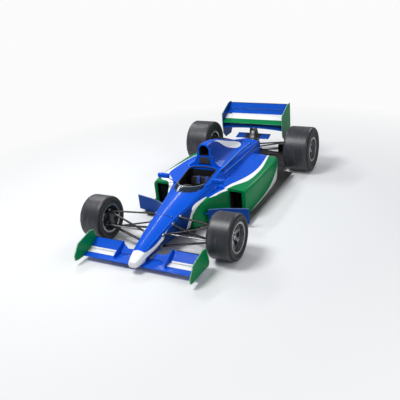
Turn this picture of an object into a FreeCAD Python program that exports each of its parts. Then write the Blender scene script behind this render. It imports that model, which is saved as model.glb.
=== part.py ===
"""Open wheel single-seat racing car, full size, in millimetres.

Frame: the car stands on z = 0 with +Z up. It faces -Y, and its left side is +X.
The origin is on the ground under the middle of the car's overall box.
Each piece is written to parts/NODE.step as one or more closed solids.
"""
import FreeCAD
import Part
import math
import os
from FreeCAD import Vector

# Overall sizes
wheelbase = 2800.0
front_overhang = 720.0
rear_overhang = 430.0
overall_length = front_overhang + wheelbase + rear_overhang
front_width = 2000.0
rear_width = 2000.0

y_front = -overall_length / 2
y_front_axle = y_front + front_overhang
y_rear_axle = y_front_axle + wheelbase
y_rear = overall_length / 2

# Wheels and tyres
rim_radius = 165.0
flange_height = 13.0
flange_thickness = 8.0
rim_wall = 7.0
front_tyre_radius = 272.0
front_tyre_width = 300.0
rear_tyre_radius = 330.0
rear_tyre_width = 380.0
tyre_overhang = 16.0
shoulder_radius = 44.0
face_depth = 60.0
spoke_count = 7
hub_radius = 44.0
hub_length = 60.0
spindle_radius = 20.0
disc_radius = 138.0
disc_thickness = 26.0
running_clearance = 0.05
moving_gap = 6.0
seat_gap = 0.3

# Steering and uprights
kingpin_inset = 26.0
kingpin_half_height = 96.0
kingpin_radius = 8.0
eye_wall = 8.0
eye_height = 16.0
steering_arm_length = 92.0
track_pin_radius = 6.0
track_eye_play = 4.0
rack_radius = 9.0
rack_drop = 42.0
front_spindle_z = front_tyre_radius
rear_spindle_z = rear_tyre_radius

# Floor, diffuser and plank
floor_z = 46.0
floor_thickness = 12.0
floor_half_width = 765.0
floor_tyre_gap = 45.0
floor_rear_half_width = rear_width / 2 - rear_tyre_width - floor_tyre_gap
floor_front_y = y_front_axle + 640.0
tray_front_y = y_front_axle + 330.0
tray_half_width = 240.0
floor_narrow_y = y_rear_axle - 285.0
diffuser_start_y = y_rear_axle - 150.0
diffuser_length = 370.0
diffuser_rise = 112.0
fence_thickness = 8.0
plank_thickness = 12.0
plank_half_width = 150.0
deck_z = floor_z + floor_thickness

# Nose, tub and cockpit
tub_half_width = 302.0
tub_top_z = 580.0
nose_tip_y = y_front + 55.0
nose_split_y = y_front_axle + 85.0
nose_bottom_z = 80.0
dash_y = y_front_axle + 600.0
tub_rear_y = y_front_axle + 1210.0
tub_wall = 22.0
bulkhead_thickness = 48.0
opening_half_width = 182.0
opening_front_y = dash_y + 55.0
opening_rear_y = tub_rear_y - bulkhead_thickness
column_radius = 12.0
leg_room_z = 288.0
seat_back_z = 440.0
seat_back_thickness = 34.0
seat_back_slope = 56.0

# Engine cover and tail
spine_z = 866.0
cover_rear_y = y_rear_axle - 160.0
intake_half_width = 70.0
intake_bottom_z = 710.0
intake_wall = 15.0
intake_depth = 300.0
head_recess_half_width = 78.0
head_recess_bottom_z = 600.0
head_recess_height = 88.0
head_recess_depth = 50.0
engine_half_width = 215.0
engine_length = 590.0
engine_height = 396.0
gearbox_half_width = 105.0
gearbox_bottom_z = 100.0
gearbox_top_z = 360.0
gearbox_rear_y = y_rear_axle + 235.0
jack_pin_radius = 14.0
jack_pin_length = 36.0
starter_radius = 16.0
starter_depth = 60.0
exhaust_radius = 33.0
exhaust_wall = 3.0

# Sidepods
pod_front_y = y_front_axle + 955.0
pod_rear_y = y_rear_axle - 425.0
pod_outer_x = 694.0
pod_top_z = 398.0
pod_wall = 12.0
pod_edge_radius = 46.0
pod_shoulder_length = 540.0
duct_inner_x = 448.0
duct_outer_x = pod_outer_x - 74.0
outlet_inner_x = 330.0
duct_top_z = pod_top_z - 36.0
outlet_width = 116.0
radiator_thickness = 60.0
radiator_lean = 130.0
radiator_setback = 90.0

# Front wing
front_wing_span = 1500.0
front_wing_z = 52.0
front_chord = 165.0
front_flap_chord = 150.0
front_flap_rise = 34.0
flap_corner_x = 352.0
endplate_thickness = 9.0
front_le_y = nose_tip_y + 78.0

# Rear wing
rear_wing_gap = 120.0
rear_wing_span = rear_width - 2 * (rear_tyre_width + rear_wing_gap)
rear_wing_top_z = 905.0
rear_plate_front_y = y_rear_axle + 45.0
pylon_spacing = 78.0
pylon_thickness = 10.0
winglet_half_span = 270.0
lower_plane_drop = 344.0
winglet_drop = 129.0

# Bargeboards and mirrors
board_height = 200.0
board_thickness = 8.0
mirror_width = 165.0
mirror_height = 62.0
mirror_depth = 54.0


def box(x0, x1, y0, y1, z0, z1):
    """Box between opposite corners."""
    return Part.makeBox(x1 - x0, y1 - y0, z1 - z0, Vector(x0, y0, z0))


def rod(start, end, radius):
    """Round bar between two points."""
    way = end - start
    return Part.makeCylinder(radius, way.Length, start, way)


def mirrored(shape):
    """The same piece on the other side of the car."""
    return shape.mirror(Vector(0, 0, 0), Vector(1, 0, 0))


def polygon(points):
    """Closed wire through corner points."""
    return Part.makePolygon(list(points) + [points[0]])


def slab(points, thickness_way):
    """Flat outline given thickness along a vector."""
    return Part.Face(polygon(points)).extrude(thickness_way)


def side_plate(outline, x, thickness):
    """Upright plate from (y, z) points, its inner face at x."""
    return slab([Vector(x, y, z) for y, z in outline], Vector(thickness, 0, 0))


def spline(points, knots=None):
    """Smooth edge through points. Sections that share their knots loft into a plain surface."""
    curve = Part.BSplineCurve()
    if knots:
        curve.interpolate(Points=points, Parameters=knots)
    else:
        curve.interpolate(points)
    return curve.toShape()


def loft(wires):
    """Smooth closed solid through closed sections."""
    return Part.makeLoft(wires, True, False)


def largest(shape):
    """The biggest solid of a cut, without the stubs inside the body."""
    return max(shape.Solids, key=lambda s: s.Volume)


def turned(profile, centre):
    """Solid of revolution about the wheel axis through centre, from (x, r) points."""
    points = [Vector(centre.x + x, centre.y, centre.z + r) for x, r in profile]
    return Part.Face(polygon(points)).revolve(centre, Vector(1, 0, 0), 360)


def blade(start, end, chord, thickness):
    """Streamlined bar: two half-round edges joined by flats, wider along Y than it is thick."""
    way = end - start
    half = (chord - thickness) / 2
    radius = thickness / 2
    wire = Part.Wire([
        Part.makeLine(Vector(-half, radius, 0), Vector(half, radius, 0)),
        Part.Arc(Vector(half, radius, 0), Vector(half + radius, 0, 0), Vector(half, -radius, 0)).toShape(),
        Part.makeLine(Vector(half, -radius, 0), Vector(-half, -radius, 0)),
        Part.Arc(Vector(-half, -radius, 0), Vector(-half - radius, 0, 0), Vector(-half, radius, 0)).toShape(),
    ])
    turn = FreeCAD.Rotation(Vector(0, 1, 0), way.cross(Vector(0, 1, 0)), way, "ZXY")
    wire.Placement = FreeCAD.Placement(start, turn)
    return Part.Face(wire).extrude(way)


def wing_wire(x, y_lead, z_lead, chord, pitch, thickness, camber):
    """Aerofoil section in the plane at x, nose towards -Y, pitched up at its tail."""
    angle = math.radians(pitch)
    cos_a, sin_a = math.cos(angle), math.sin(angle)
    top, low = [], []
    for share in (0.0, 0.03, 0.12, 0.3, 0.55, 0.8, 1.0):
        half = thickness * 1.5 * (math.sqrt(share) * 0.9 - share * 0.78 - share ** 2 * 0.06)
        half = max(half, 1.2 if share > 0 else 0.0)
        belly = -camber * 4 * share * (1 - share)
        for side, line in ((half, top), (-half, low)):
            off = belly + side
            line.append(Vector(x, y_lead + share * chord * cos_a - off * sin_a,
                               z_lead + share * chord * sin_a + off * cos_a))
    edges = [spline(top), Part.makeLine(top[-1], low[-1]), spline(low)]
    return Part.Wire(Part.__sortEdges__(edges))


def wing(x0, x1, *section):
    """Straight wing between two planes."""
    return Part.Face(wing_wire(x0, *section)).extrude(Vector(x1 - x0, 0, 0))


# Nose and tub. Each section gives its share of the length, then top height, shoulder half-width and
# height, widest half-width and height, and bottom half-width as shares of tub_top_z and tub_half_width,
# and last the height of its bottom above the nose's or the floor's own level.

body_sections = [
    (0.0, 0.259, 0.139, 0.238, 0.179, 0.193, 0.139, nose_bottom_z + 4),
    (0.042, 0.317, 0.205, 0.283, 0.252, 0.221, 0.185, nose_bottom_z),
    (0.095, 0.379, 0.258, 0.338, 0.318, 0.259, 0.219, nose_bottom_z),
    (0.164, 0.448, 0.311, 0.397, 0.384, 0.310, 0.238, nose_bottom_z),
    (0.249, 0.524, 0.371, 0.466, 0.464, 0.369, 0.265, nose_bottom_z),
    (0.340, 0.593, 0.430, 0.531, 0.536, 0.428, 0.291, nose_bottom_z),
    (0.430, 0.666, 0.483, 0.593, 0.609, 0.483, 0.344, nose_bottom_z - 2),
    (0.520, 0.731, 0.536, 0.659, 0.689, 0.538, 0.417, deck_z + 12),
    (0.610, 0.786, 0.603, 0.717, 0.775, 0.586, 0.523, deck_z + 2),
    (0.706, 0.838, 0.682, 0.776, 0.861, 0.631, 0.656, deck_z - 2),
    (0.812, 0.897, 0.768, 0.838, 0.940, 0.679, 0.781, deck_z - 2),
    (0.907, 0.952, 0.815, 0.893, 0.980, 0.710, 0.841, deck_z - 2),
    (1.0, 1.0, 0.834, 0.934, 1.0, 0.724, 0.868, deck_z - 2),
]


def hull_wire(y, top_z, shoulder_x, shoulder_z, wide_x, wide_z, bottom_x, bottom_z):
    """Six-sided section with an arched top."""
    arch = Part.Arc(Vector(-shoulder_x, y, shoulder_z), Vector(0, y, top_z),
                    Vector(shoulder_x, y, shoulder_z)).toShape()
    right = [Vector(shoulder_x, y, shoulder_z), Vector(wide_x, y, wide_z), Vector(bottom_x, y, bottom_z)]
    corners = right + [Vector(-p.x, y, p.z) for p in reversed(right)]
    return Part.Wire([arch] + [Part.makeLine(a, b) for a, b in zip(corners, corners[1:])])


def body_loft(inset):
    """Nose and tub as one solid, drawn in by an even inset."""
    wires = []
    for share, top, sh_x, sh_z, wide_x, wide_z, bot_x, bot_z in body_sections:
        y = nose_tip_y + share * (tub_rear_y - nose_tip_y)
        wires.append(hull_wire(y, top * tub_top_z - inset,
                               sh_x * tub_half_width - inset, sh_z * tub_top_z - inset,
                               wide_x * tub_half_width - inset, wide_z * tub_top_z,
                               bot_x * tub_half_width - inset, bot_z + inset))
    return loft(wires)


def nose_bullet():
    """Blunt envelope that rounds the nose tip, and the space behind it."""
    length, half = 120.0, 132.0
    centre_z = nose_bottom_z + 30
    arc = []
    for k in range(9):
        angle = math.radians(90 * k / 8)
        arc.append(Vector(0, nose_tip_y + length * (1 - math.cos(angle)), centre_z + half * math.sin(angle)))
    base = Vector(0, nose_tip_y + length, centre_z)
    wire = Part.Wire([spline(arc), Part.makeLine(arc[-1], base), Part.makeLine(base, arc[0])])
    dome = Part.Face(wire).revolve(Vector(0, 0, centre_z), Vector(0, 1, 0), 360)
    return dome.fuse(box(-400, 400, nose_tip_y + length, nose_split_y, 0, tub_top_z))


under_deck = box(-floor_half_width, floor_half_width, tray_front_y - 1, y_rear, 0, deck_z)
body_solid = body_loft(0).cut(under_deck)
nose_solid = body_solid.common(nose_bullet())
tub_solid = body_solid.common(box(-500, 500, nose_split_y, tub_rear_y, 0, tub_top_z + 200))


def cockpit_hollow():
    """Space for the driver: the inside of the tub and the opening above it."""
    inner = body_loft(tub_wall)
    inner = inner.common(box(-600, 600, nose_split_y + 60, opening_rear_y, deck_z + tub_wall, tub_top_z))
    front = opening_front_y + opening_half_width
    arc = Part.Arc(Vector(-opening_half_width, front, 0), Vector(0, opening_front_y, 0),
                   Vector(opening_half_width, front, 0)).toShape()
    corners = [Vector(opening_half_width, front, 0), Vector(opening_half_width + 14, opening_rear_y, 0),
               Vector(-opening_half_width - 14, opening_rear_y, 0), Vector(-opening_half_width, front, 0)]
    outline = Part.Wire([arc] + [Part.makeLine(a, b) for a, b in zip(corners, corners[1:])])
    outline.translate(Vector(0, 0, leg_room_z + 40))
    return inner.fuse(Part.Face(outline).extrude(Vector(0, 0, 400)))


monocoque = tub_solid.cut(cockpit_hollow())


# Engine cover. Each section gives its share of the length, then points from the spine down to the crease
# along its shoulder and on to the floor, as shares of tub_half_width and spine_z.

cover_table = [
    (0.0, [(0.0, 1.0), (0.195, 0.984), (0.296, 0.914), (0.348, 0.830), (0.462, 0.744), (0.662, 0.679),
           (0.861, 0.647), (1.0, 0.484), (0.868, 0.060)]),
    (0.175, [(0.0, 0.982), (0.162, 0.964), (0.235, 0.898), (0.294, 0.817), (0.420, 0.735), (0.642, 0.672),
             (0.850, 0.642), (1.0, 0.475), (0.90, 0.060)]),
    (0.393, [(0.0, 0.873), (0.119, 0.857), (0.172, 0.801), (0.232, 0.741), (0.358, 0.684), (0.566, 0.640),
             (0.775, 0.614), (0.947, 0.445), (0.90, 0.060)]),
    (0.651, [(0.0, 0.727), (0.086, 0.714), (0.128, 0.682), (0.190, 0.645), (0.305, 0.612), (0.478, 0.590),
             (0.662, 0.568), (0.815, 0.410), (0.76, 0.066)]),
    (1.0, [(0.0, 0.570), (0.080, 0.565), (0.150, 0.558), (0.235, 0.551), (0.350, 0.545), (0.490, 0.538),
           (0.630, 0.526), (0.712, 0.400), (0.69, 0.113)]),
]
shoulder_knots = [0.0, 0.13, 0.24, 0.35, 0.47, 0.62, 0.78]


def cover_loft():
    """Outer form of the engine cover: rounded over the spine, with a crease along each shoulder."""
    crease = len(shoulder_knots) - 1
    knots = [-k for k in reversed(shoulder_knots[1:])] + shoulder_knots
    wires = []
    for share, points in cover_table:
        y = tub_rear_y + share * (cover_rear_y - tub_rear_y)
        left = [Vector(x * tub_half_width, y, z * spine_z) for x, z in points]
        right = [Vector(-p.x, y, p.z) for p in left]
        ridge = spline(right[crease:0:-1] + left[:crease + 1], knots)
        flanks = left[crease:] + right[:crease - 1:-1]
        wires.append(Part.Wire([ridge] + [Part.makeLine(a, b) for a, b in zip(flanks, flanks[1:])]))
    return loft(wires).cut(under_deck)


cover_solid = cover_loft()


def intake_space():
    """Duct of the air intake, narrowing towards the engine."""
    mouths = []
    for depth, share in ((-1, 1.0), (intake_depth, 0.55)):
        half = intake_half_width * share
        high = spine_z - intake_wall - (1 - share) * 70
        low = intake_bottom_z
        y = tub_rear_y + depth
        shoulder = (low + high) / 2
        mouths.append(Part.Wire([
            Part.makeLine(Vector(-half, y, low), Vector(half, y, low)),
            Part.makeLine(Vector(half, y, low), Vector(half, y, shoulder)),
            Part.Arc(Vector(half, y, shoulder), Vector(0, y, high), Vector(-half, y, shoulder)).toShape(),
            Part.makeLine(Vector(-half, y, shoulder), Vector(-half, y, low)),
        ]))
    return Part.makeLoft(mouths, True, True)


def engine_cover():
    """Cover with its intake, headrest recess and the bay for engine, gear case and exhausts."""
    front = tub_rear_y - 1
    bay_x = engine_half_width + moving_gap
    bay_end = tub_rear_y + engine_length + 2 * moving_gap
    bay = box(-bay_x, bay_x, front, bay_end, 0, deck_z + engine_height + moving_gap)
    case_x = gearbox_half_width + moving_gap
    tunnel = box(-case_x, case_x, front, cover_rear_y + 10, 0, gearbox_top_z + moving_gap)
    recess = box(-head_recess_half_width, head_recess_half_width, front, tub_rear_y + head_recess_depth,
                 head_recess_bottom_z, head_recess_bottom_z + head_recess_height)
    cover = cover_solid.cut(intake_space()).cut(bay).cut(tunnel).cut(recess)
    for x in (-1, 1):
        cover = cover.cut(exhaust(x, exhaust_radius + seat_gap, 0))
    return largest(cover)


def headrest():
    """Padded block in the recess behind the driver's head."""
    half = head_recess_half_width - 3
    pad = box(-half, half, tub_rear_y - 34, tub_rear_y + head_recess_depth - seat_gap,
              head_recess_bottom_z + 2, head_recess_bottom_z + head_recess_height - 3)
    front = [e for e in pad.Edges if all(v.Point.y < tub_rear_y for v in e.Vertexes)]
    return pad.makeFillet(16, front)


def engine():
    """Engine as one plain block on the floor, bolted behind the tub."""
    return box(-engine_half_width, engine_half_width, tub_rear_y, tub_rear_y + engine_length,
               deck_z + 20, deck_z + engine_height)


def gearbox():
    """Gear case tapering back to the lamp bracket, jack pin and starter socket."""
    start = tub_rear_y + engine_length
    wires = []
    for y, half, low, high in (
            (start, gearbox_half_width, gearbox_bottom_z, gearbox_top_z),
            (y_rear_axle - 60, gearbox_half_width, gearbox_bottom_z + 10, gearbox_top_z),
            (gearbox_rear_y, 46, gearbox_bottom_z + 90, gearbox_top_z - 60)):
        wires.append(polygon([Vector(-half, y, low), Vector(half, y, low),
                              Vector(half, y, high), Vector(-half, y, high)]))
    case = Part.makeLoft(wires, True, True)
    case = case.cut(box(-300, 300, gearbox_rear_y - 8, gearbox_rear_y + 8, 0, 600))
    plate = box(-52, 52, gearbox_rear_y - 8, gearbox_rear_y, jack_z - 30, starter_z + 34)
    lamp_bracket = box(-34, 34, gearbox_rear_y - 60, gearbox_rear_y, starter_z, starter_z + 82)
    pin = rod(Vector(0, gearbox_rear_y - 20, jack_z), Vector(0, gearbox_rear_y + jack_pin_length, jack_z),
              jack_pin_radius)
    mouth = Vector(0, gearbox_rear_y, starter_z)
    socket = rod(mouth - Vector(0, starter_depth, 0), mouth + Vector(0, 5, 0), starter_radius)
    return case.fuse([plate, lamp_bracket, pin]).cut(socket)


jack_z = gearbox_bottom_z + 118
starter_z = gearbox_bottom_z + 178


def rain_light():
    """Rear lamp on the bracket above the starter socket."""
    lamp = box(-32, 32, gearbox_rear_y, gearbox_rear_y + 22, starter_z + 26, starter_z + 80)
    rear = [e for e in lamp.Edges if all(v.Point.y > gearbox_rear_y + 1 for v in e.Vertexes)]
    return lamp.makeFillet(6, rear)


def exhaust(side, radius, wall):
    """Tail pipe beside the gear case. A wall of 0 gives the full bar."""
    start = Vector(side * 162, pod_rear_y + moving_gap, 266)
    end = Vector(side * 168, y_rear_axle - 130, 262)
    pipe = rod(start, end, radius)
    if wall:
        depth = end - start
        depth.normalize()
        pipe = pipe.cut(rod(end - depth * 90, end + depth * 5, radius - wall))
    return pipe


# Sidepods

def pod_shoulder():
    """Fairing that leaves the tub's side and widens back to the duct's inner edge."""
    wires = []
    for back, outer, top in ((pod_shoulder_length, 205, 300),
                             (pod_shoulder_length * 0.72, 262, pod_top_z - 48),
                             (pod_shoulder_length * 0.42, 330, pod_top_z - 24),
                             (-2, duct_inner_x - 2, pod_top_z - 12)):
        y = pod_front_y - back
        wires.append(polygon([Vector(110, y, deck_z), Vector(outer, y, deck_z), Vector(outer, y, top - 46),
                              Vector(outer - 14, y, top - 14), Vector(outer - 46, y, top),
                              Vector(110, y, top)]))
    return loft(wires)


def sidepod():
    """Left sidepod with its cooling duct open at the front and rear."""
    wires = []
    for y, outer, top, tuck in ((pod_front_y, pod_outer_x - 26, pod_top_z - 10, 2),
                                (pod_front_y + 150, pod_outer_x - 8, pod_top_z, 6),
                                (pod_front_y + 400, pod_outer_x, pod_top_z, 10),
                                (pod_front_y + 650, pod_outer_x - 4, pod_top_z - 1, 12),
                                (pod_rear_y - 460, pod_outer_x - 14, pod_top_z - 4, 14),
                                (pod_rear_y - 200, pod_outer_x - 44, pod_top_z - 18, 16),
                                (pod_rear_y, pod_outer_x - 126, pod_top_z - 64, 16)):
        radius = pod_edge_radius
        inner = 120
        corner = Vector(outer - radius, y, top - radius)
        slant = radius * math.sqrt(0.5)
        wires.append(Part.Wire([
            Part.makeLine(Vector(inner, y, deck_z - 3), Vector(outer - tuck, y, deck_z - 3)),
            Part.makeLine(Vector(outer - tuck, y, deck_z - 3), Vector(outer, y, top - radius)),
            Part.Arc(Vector(outer, y, top - radius), corner + Vector(slant, 0, slant),
                     Vector(outer - radius, y, top)).toShape(),
            Part.makeLine(Vector(outer - radius, y, top), Vector(inner, y, top + 30)),
            Part.makeLine(Vector(inner, y, top + 30), Vector(inner, y, deck_z - 3)),
        ]))
    shell = loft(wires).cut(under_deck)
    low = deck_z + pod_wall
    duct = box(duct_inner_x, duct_outer_x, pod_front_y - 5, pod_front_y + 420, low, duct_top_z)
    plenum = box(outlet_inner_x, duct_outer_x, pod_front_y + 410, pod_front_y + 600, low, duct_top_z)
    outlet_outer_x = outlet_inner_x + outlet_width
    outlet = box(outlet_inner_x, outlet_outer_x, pod_front_y + 590, pod_rear_y + 5, low, duct_top_z - 98)
    pod = shell.fuse(pod_shoulder())
    for hollow in (duct, plenum, outlet, tub_solid, cover_solid):
        pod = pod.cut(hollow)
    return largest(pod)


def radiator():
    """Left radiator core, leaning back across the duct."""
    y = pod_front_y + radiator_setback
    low = deck_z + pod_wall
    high = duct_top_z - seat_gap
    inner, outer = duct_inner_x + seat_gap, duct_outer_x - seat_gap
    return slab([Vector(inner, y + radiator_lean, low), Vector(outer, y, low),
                 Vector(outer, y + radiator_thickness, low),
                 Vector(inner, y + radiator_lean + radiator_thickness, low)], Vector(0, 0, high - low))


# Floor

def floor():
    """Flat floor with the tray under the tub."""
    half = [(tray_half_width, tray_front_y), (tray_half_width, floor_front_y),
            (floor_half_width - 110, floor_front_y + 10),
            (floor_half_width, floor_front_y + 150), (floor_half_width, floor_narrow_y - 30),
            (floor_rear_half_width, floor_narrow_y + 30), (floor_rear_half_width, diffuser_start_y)]
    outline = half + [(-x, y) for x, y in reversed(half)]
    return slab([Vector(x, y, floor_z) for x, y in outline], Vector(0, 0, floor_thickness))


def diffuser():
    """Upswept tunnel roof behind the floor, with its upright fences."""
    end = diffuser_start_y + diffuser_length
    roof = [(diffuser_start_y, floor_z), (end, floor_z + diffuser_rise),
            (end, floor_z + diffuser_rise + floor_thickness), (diffuser_start_y, floor_z + floor_thickness)]
    solid = side_plate(roof, -floor_rear_half_width, 2 * floor_rear_half_width)
    fence = [(diffuser_start_y, floor_z), (end, floor_z), (end, floor_z + diffuser_rise)]
    inner = plank_half_width + 40
    outer = floor_rear_half_width
    for x in (-outer, -inner - fence_thickness, inner, outer - fence_thickness):
        solid = solid.fuse(side_plate(fence, x, fence_thickness))
    return solid


def skid_plank():
    """Wooden wear plank under the floor."""
    return box(-plank_half_width, plank_half_width, tray_front_y + 40, diffuser_start_y - 20,
               floor_z - plank_thickness, floor_z)


# Front wing

front_wing_half = front_wing_span / 2 - endplate_thickness


def front_wing_main():
    """Main plane from endplate to endplate, with the pads that carry it under the nose."""
    plane = wing(-front_wing_half, front_wing_half, front_le_y, front_wing_z + 10, front_chord, 5, 22, 6)
    for x in (-50, 34):
        pad = box(x, x + 16, front_le_y + 40, front_le_y + 130, front_wing_z + 16, nose_bottom_z + 60)
        plane = plane.fuse(pad.cut(nose_solid))
    return plane


def front_flap():
    """Left flap: full chord outboard, its tail cut off slantwise towards the nose."""
    lead_y = front_le_y + front_chord - 8
    lead_z = front_wing_z + front_flap_rise
    outer = wing(flap_corner_x, front_wing_half, lead_y, lead_z, front_flap_chord, 32, 16, 8)
    full = wing_wire(flap_corner_x, lead_y, lead_z, front_flap_chord, 32, 16, 8)
    part_chord = wing_wire(flap_corner_x - 110, lead_y, lead_z, front_flap_chord * 0.5, 28, 12, 4)
    slanted = Part.makeLoft([part_chord, full], True, True)
    root = wing(120, flap_corner_x - 110, lead_y, lead_z, front_flap_chord * 0.5, 28, 12, 4)
    return outer.fuse([slanted, root]).cut(nose_solid)


def front_fence(met):
    """Left fence at the flap's slanted corner, standing on the main plane."""
    y, z = front_le_y, front_wing_z
    outline = [(y + 50, z), (y + 50, z + 52), (y + 150, z + 96), (y + 262, z + 142), (y + 282, z + 128),
               (y + 250, z)]
    fence = side_plate(outline, flap_corner_x - 24, fence_thickness)
    for other in met:
        fence = fence.cut(other)
    return max(fence.Solids, key=lambda s: s.BoundBox.ZMax)


def front_endplate():
    """Left front endplate with a raked top edge and rounded corners."""
    outline = [(y_front, 62), (y_front, 122), (y_front + 96, 236), (y_front + 322, 288),
               (y_front + 398, 270), (y_front + 440, 84), (y_front + 420, 50), (y_front + 60, 50)]
    plate = side_plate(outline, front_wing_half, endplate_thickness)
    across = [e for e in plate.Edges if abs(e.tangentAt(e.FirstParameter).x) > 0.9]
    return plate.makeFillet(12, across)


# Rear wing

rear_wing_half = rear_wing_span / 2 - endplate_thickness


def rear_wing_elements():
    """Main plane, two flaps and the arched lower plane, from endplate to endplate."""
    half = rear_wing_half
    y = rear_plate_front_y
    main = wing(-half, half, y + 12, rear_wing_top_z - 254, 206, 27, 28, 10)
    flap = wing(-half, half, y + 192, rear_wing_top_z - 143, 100, 27, 16, 6)
    top = wing(-half, half, y + 276, rear_wing_top_z - 88, 108, 40, 14, 6)
    arched = []
    for x, lift in ((-half, 0), (-half / 2, 19), (0, 26), (half / 2, 19), (half, 0)):
        arched.append(wing_wire(x, y + 10, rear_wing_top_z - lower_plane_drop + lift, 170, 24, 24, 10))
    return main, Part.makeCompound([flap, top]), loft(arched)


def rear_endplate():
    """Left rear endplate with a raked front corner and a cut-away foot."""
    front, top = rear_plate_front_y, rear_wing_top_z
    outline = [(front, top - 262), (front + 6, top - 116), (front + 270, top), (y_rear, top),
               (y_rear, top - 400), (y_rear - 90, top - 510), (front + 96, top - 510),
               (front + 14, top - 430)]
    plate = side_plate(outline, rear_wing_half, endplate_thickness)
    across = [e for e in plate.Edges if abs(e.tangentAt(e.FirstParameter).x) > 0.9]
    return plate.makeFillet(14, across)


def tail_winglet():
    """Short plane over the gear case."""
    lead_y = rear_plate_front_y - 28
    lead_z = max(rear_wing_top_z - lower_plane_drop - winglet_drop, gearbox_top_z + 24)
    return wing(-winglet_half_span, winglet_half_span, lead_y, lead_z, 150, 14, 20, 6)


def wing_pylon(met):
    """Two plates that carry the rear wing on the gear case, cut where they meet other pieces."""
    y = rear_plate_front_y
    outline = [(y - 50, gearbox_top_z - 90), (y + 66, gearbox_top_z - 110), (y + 96, gearbox_top_z + 80),
               (y + 168, rear_wing_top_z - 214), (y + 70, rear_wing_top_z - 228),
               (y - 10, gearbox_top_z + 80)]
    plates = []
    for x in (-pylon_spacing / 2 - pylon_thickness / 2, pylon_spacing / 2 - pylon_thickness / 2):
        plate = side_plate(outline, x, pylon_thickness)
        for other in met:
            plate = plate.cut(other)
        top = max(s.BoundBox.ZMax for s in plate.Solids)
        plates.extend(s for s in plate.Solids if s.Volume > 8000 and s.BoundBox.ZMin < top - 60)
    return plates


# Wheels

def wheel_face(width):
    """Distance from the wheel's middle plane out to its spoked face."""
    return width / 2 - tyre_overhang - face_depth


def tyre(centre, radius, width):
    """Slick tyre: rounded shoulders, bulging walls and a bead on the rim."""
    half = width / 2
    bead = half - tyre_overhang - flange_thickness
    bead_r = rim_radius + flange_height
    wall_top = radius - shoulder_radius
    tread = half - shoulder_radius
    side = [(bead, rim_radius), (bead, bead_r), (half - 6, (bead_r + wall_top) / 2), (half, wall_top)]
    for angle in (30, 60, 90):
        a = math.radians(angle)
        side.append((tread + shoulder_radius * math.cos(a), wall_top + shoulder_radius * math.sin(a)))
    return turned(side + [(-x, r) for x, r in reversed(side)], centre)


def rim(centre, width):
    """Left wheel with a deep barrel, spokes, hub, centre-lock nut and brake disc."""
    half = width / 2 - tyre_overhang
    face_x = wheel_face(width)
    lip = flange_thickness
    inner_r = rim_radius - rim_wall
    barrel = turned([(-half, inner_r), (-half, rim_radius + flange_height),
                     (-half + lip, rim_radius + flange_height), (-half + lip, rim_radius),
                     (half - lip, rim_radius), (half - lip, rim_radius + flange_height),
                     (half, rim_radius + flange_height), (half, inner_r)], centre)
    web = turned([(face_x - 34, 0), (face_x - 34, hub_radius + 6), (face_x - 10, inner_r),
                  (face_x + 6, inner_r), (face_x - 12, hub_radius + 6), (face_x - 12, 0)], centre)
    step = 360.0 / spoke_count
    for k in range(spoke_count):
        window = spoke_window(centre, face_x, step * 0.6)
        window.rotate(centre, Vector(1, 0, 0), step * k)
        web = web.cut(window)
    hub_inner = face_x - hub_length
    hub = turned([(hub_inner - disc_thickness, 0), (hub_inner - disc_thickness, disc_radius),
                  (hub_inner, disc_radius), (hub_inner, hub_radius), (face_x - 8, hub_radius),
                  (face_x - 8, 0)], centre)
    nut_points = []
    for k in range(6):
        a = math.radians(60 * k)
        nut_points.append(centre + Vector(face_x - 8, 34 * math.cos(a), 34 * math.sin(a)))
    nut = slab(nut_points, Vector(26, 0, 0))
    bore_r = spindle_radius + running_clearance
    bore = turned([(hub_inner - disc_thickness - 5, 0), (hub_inner - disc_thickness - 5, bore_r),
                   (face_x - 24, bore_r), (face_x - 24, 0)], centre)
    return barrel.fuse([web, hub, nut]).cut(bore)


def spoke_window(centre, face_x, spread):
    """One opening between two spokes."""
    inner_r, outer_r = hub_radius + 14, rim_radius - rim_wall - 10
    a = math.radians(spread / 2)
    points = []
    for r, angle in ((inner_r, -a * 0.6), (outer_r, -a), (outer_r * 1.02, 0), (outer_r, a),
                     (inner_r, a * 0.6)):
        points.append(centre + Vector(face_x - 80, r * math.sin(angle), r * math.cos(angle)))
    return slab(points, Vector(110, 0, 0))


front_centre = Vector(front_width / 2 - front_tyre_width / 2, y_front_axle, front_spindle_z)
rear_centre = Vector(rear_width / 2 - rear_tyre_width / 2, y_rear_axle, rear_spindle_z)
kingpin_x = front_width / 2 - front_tyre_width + kingpin_inset
rear_link_x = rear_width / 2 - rear_tyre_width + tyre_overhang
rack_z = front_spindle_z - rack_drop
rack_y = y_front_axle - steering_arm_length


def spindle(centre, width, start_x):
    """Left spindle, ending just inside the closed end of the hub's bore."""
    end_x = centre.x + wheel_face(width) - 26
    return rod(Vector(start_x, centre.y, centre.z), Vector(end_x, centre.y, centre.z), spindle_radius)


def caliper(centre, width, mount_x):
    """Caliper around the disc's rear edge, with its bracket to the upright."""
    disc_outer = wheel_face(width) - hub_length
    disc_inner = disc_outer - disc_thickness
    play = moving_gap - 1
    whole = turned([(disc_inner - play - 14, 96), (disc_inner - play - 14, disc_radius + play + 9),
                    (disc_outer + play + 12, disc_radius + play + 9), (disc_outer + play + 12, 96)], centre)
    slot = turned([(disc_inner - play, 0), (disc_inner - play, disc_radius + play),
                   (disc_outer + play, disc_radius + play), (disc_outer + play, 0)], centre)
    y, z = centre.y, centre.z
    body = whole.cut(slot).common(box(0, front_width, y + 60, y + 200, z - 62, z + 62))
    bracket = box(mount_x - 14, mount_x, y + 20, y + 124, z - 24, z + 24)
    arm = box(mount_x - 14, centre.x + disc_inner - play - 7, y + 98, y + 124, z - 24, z + 24)
    return body.fuse([bracket, arm])


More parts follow.
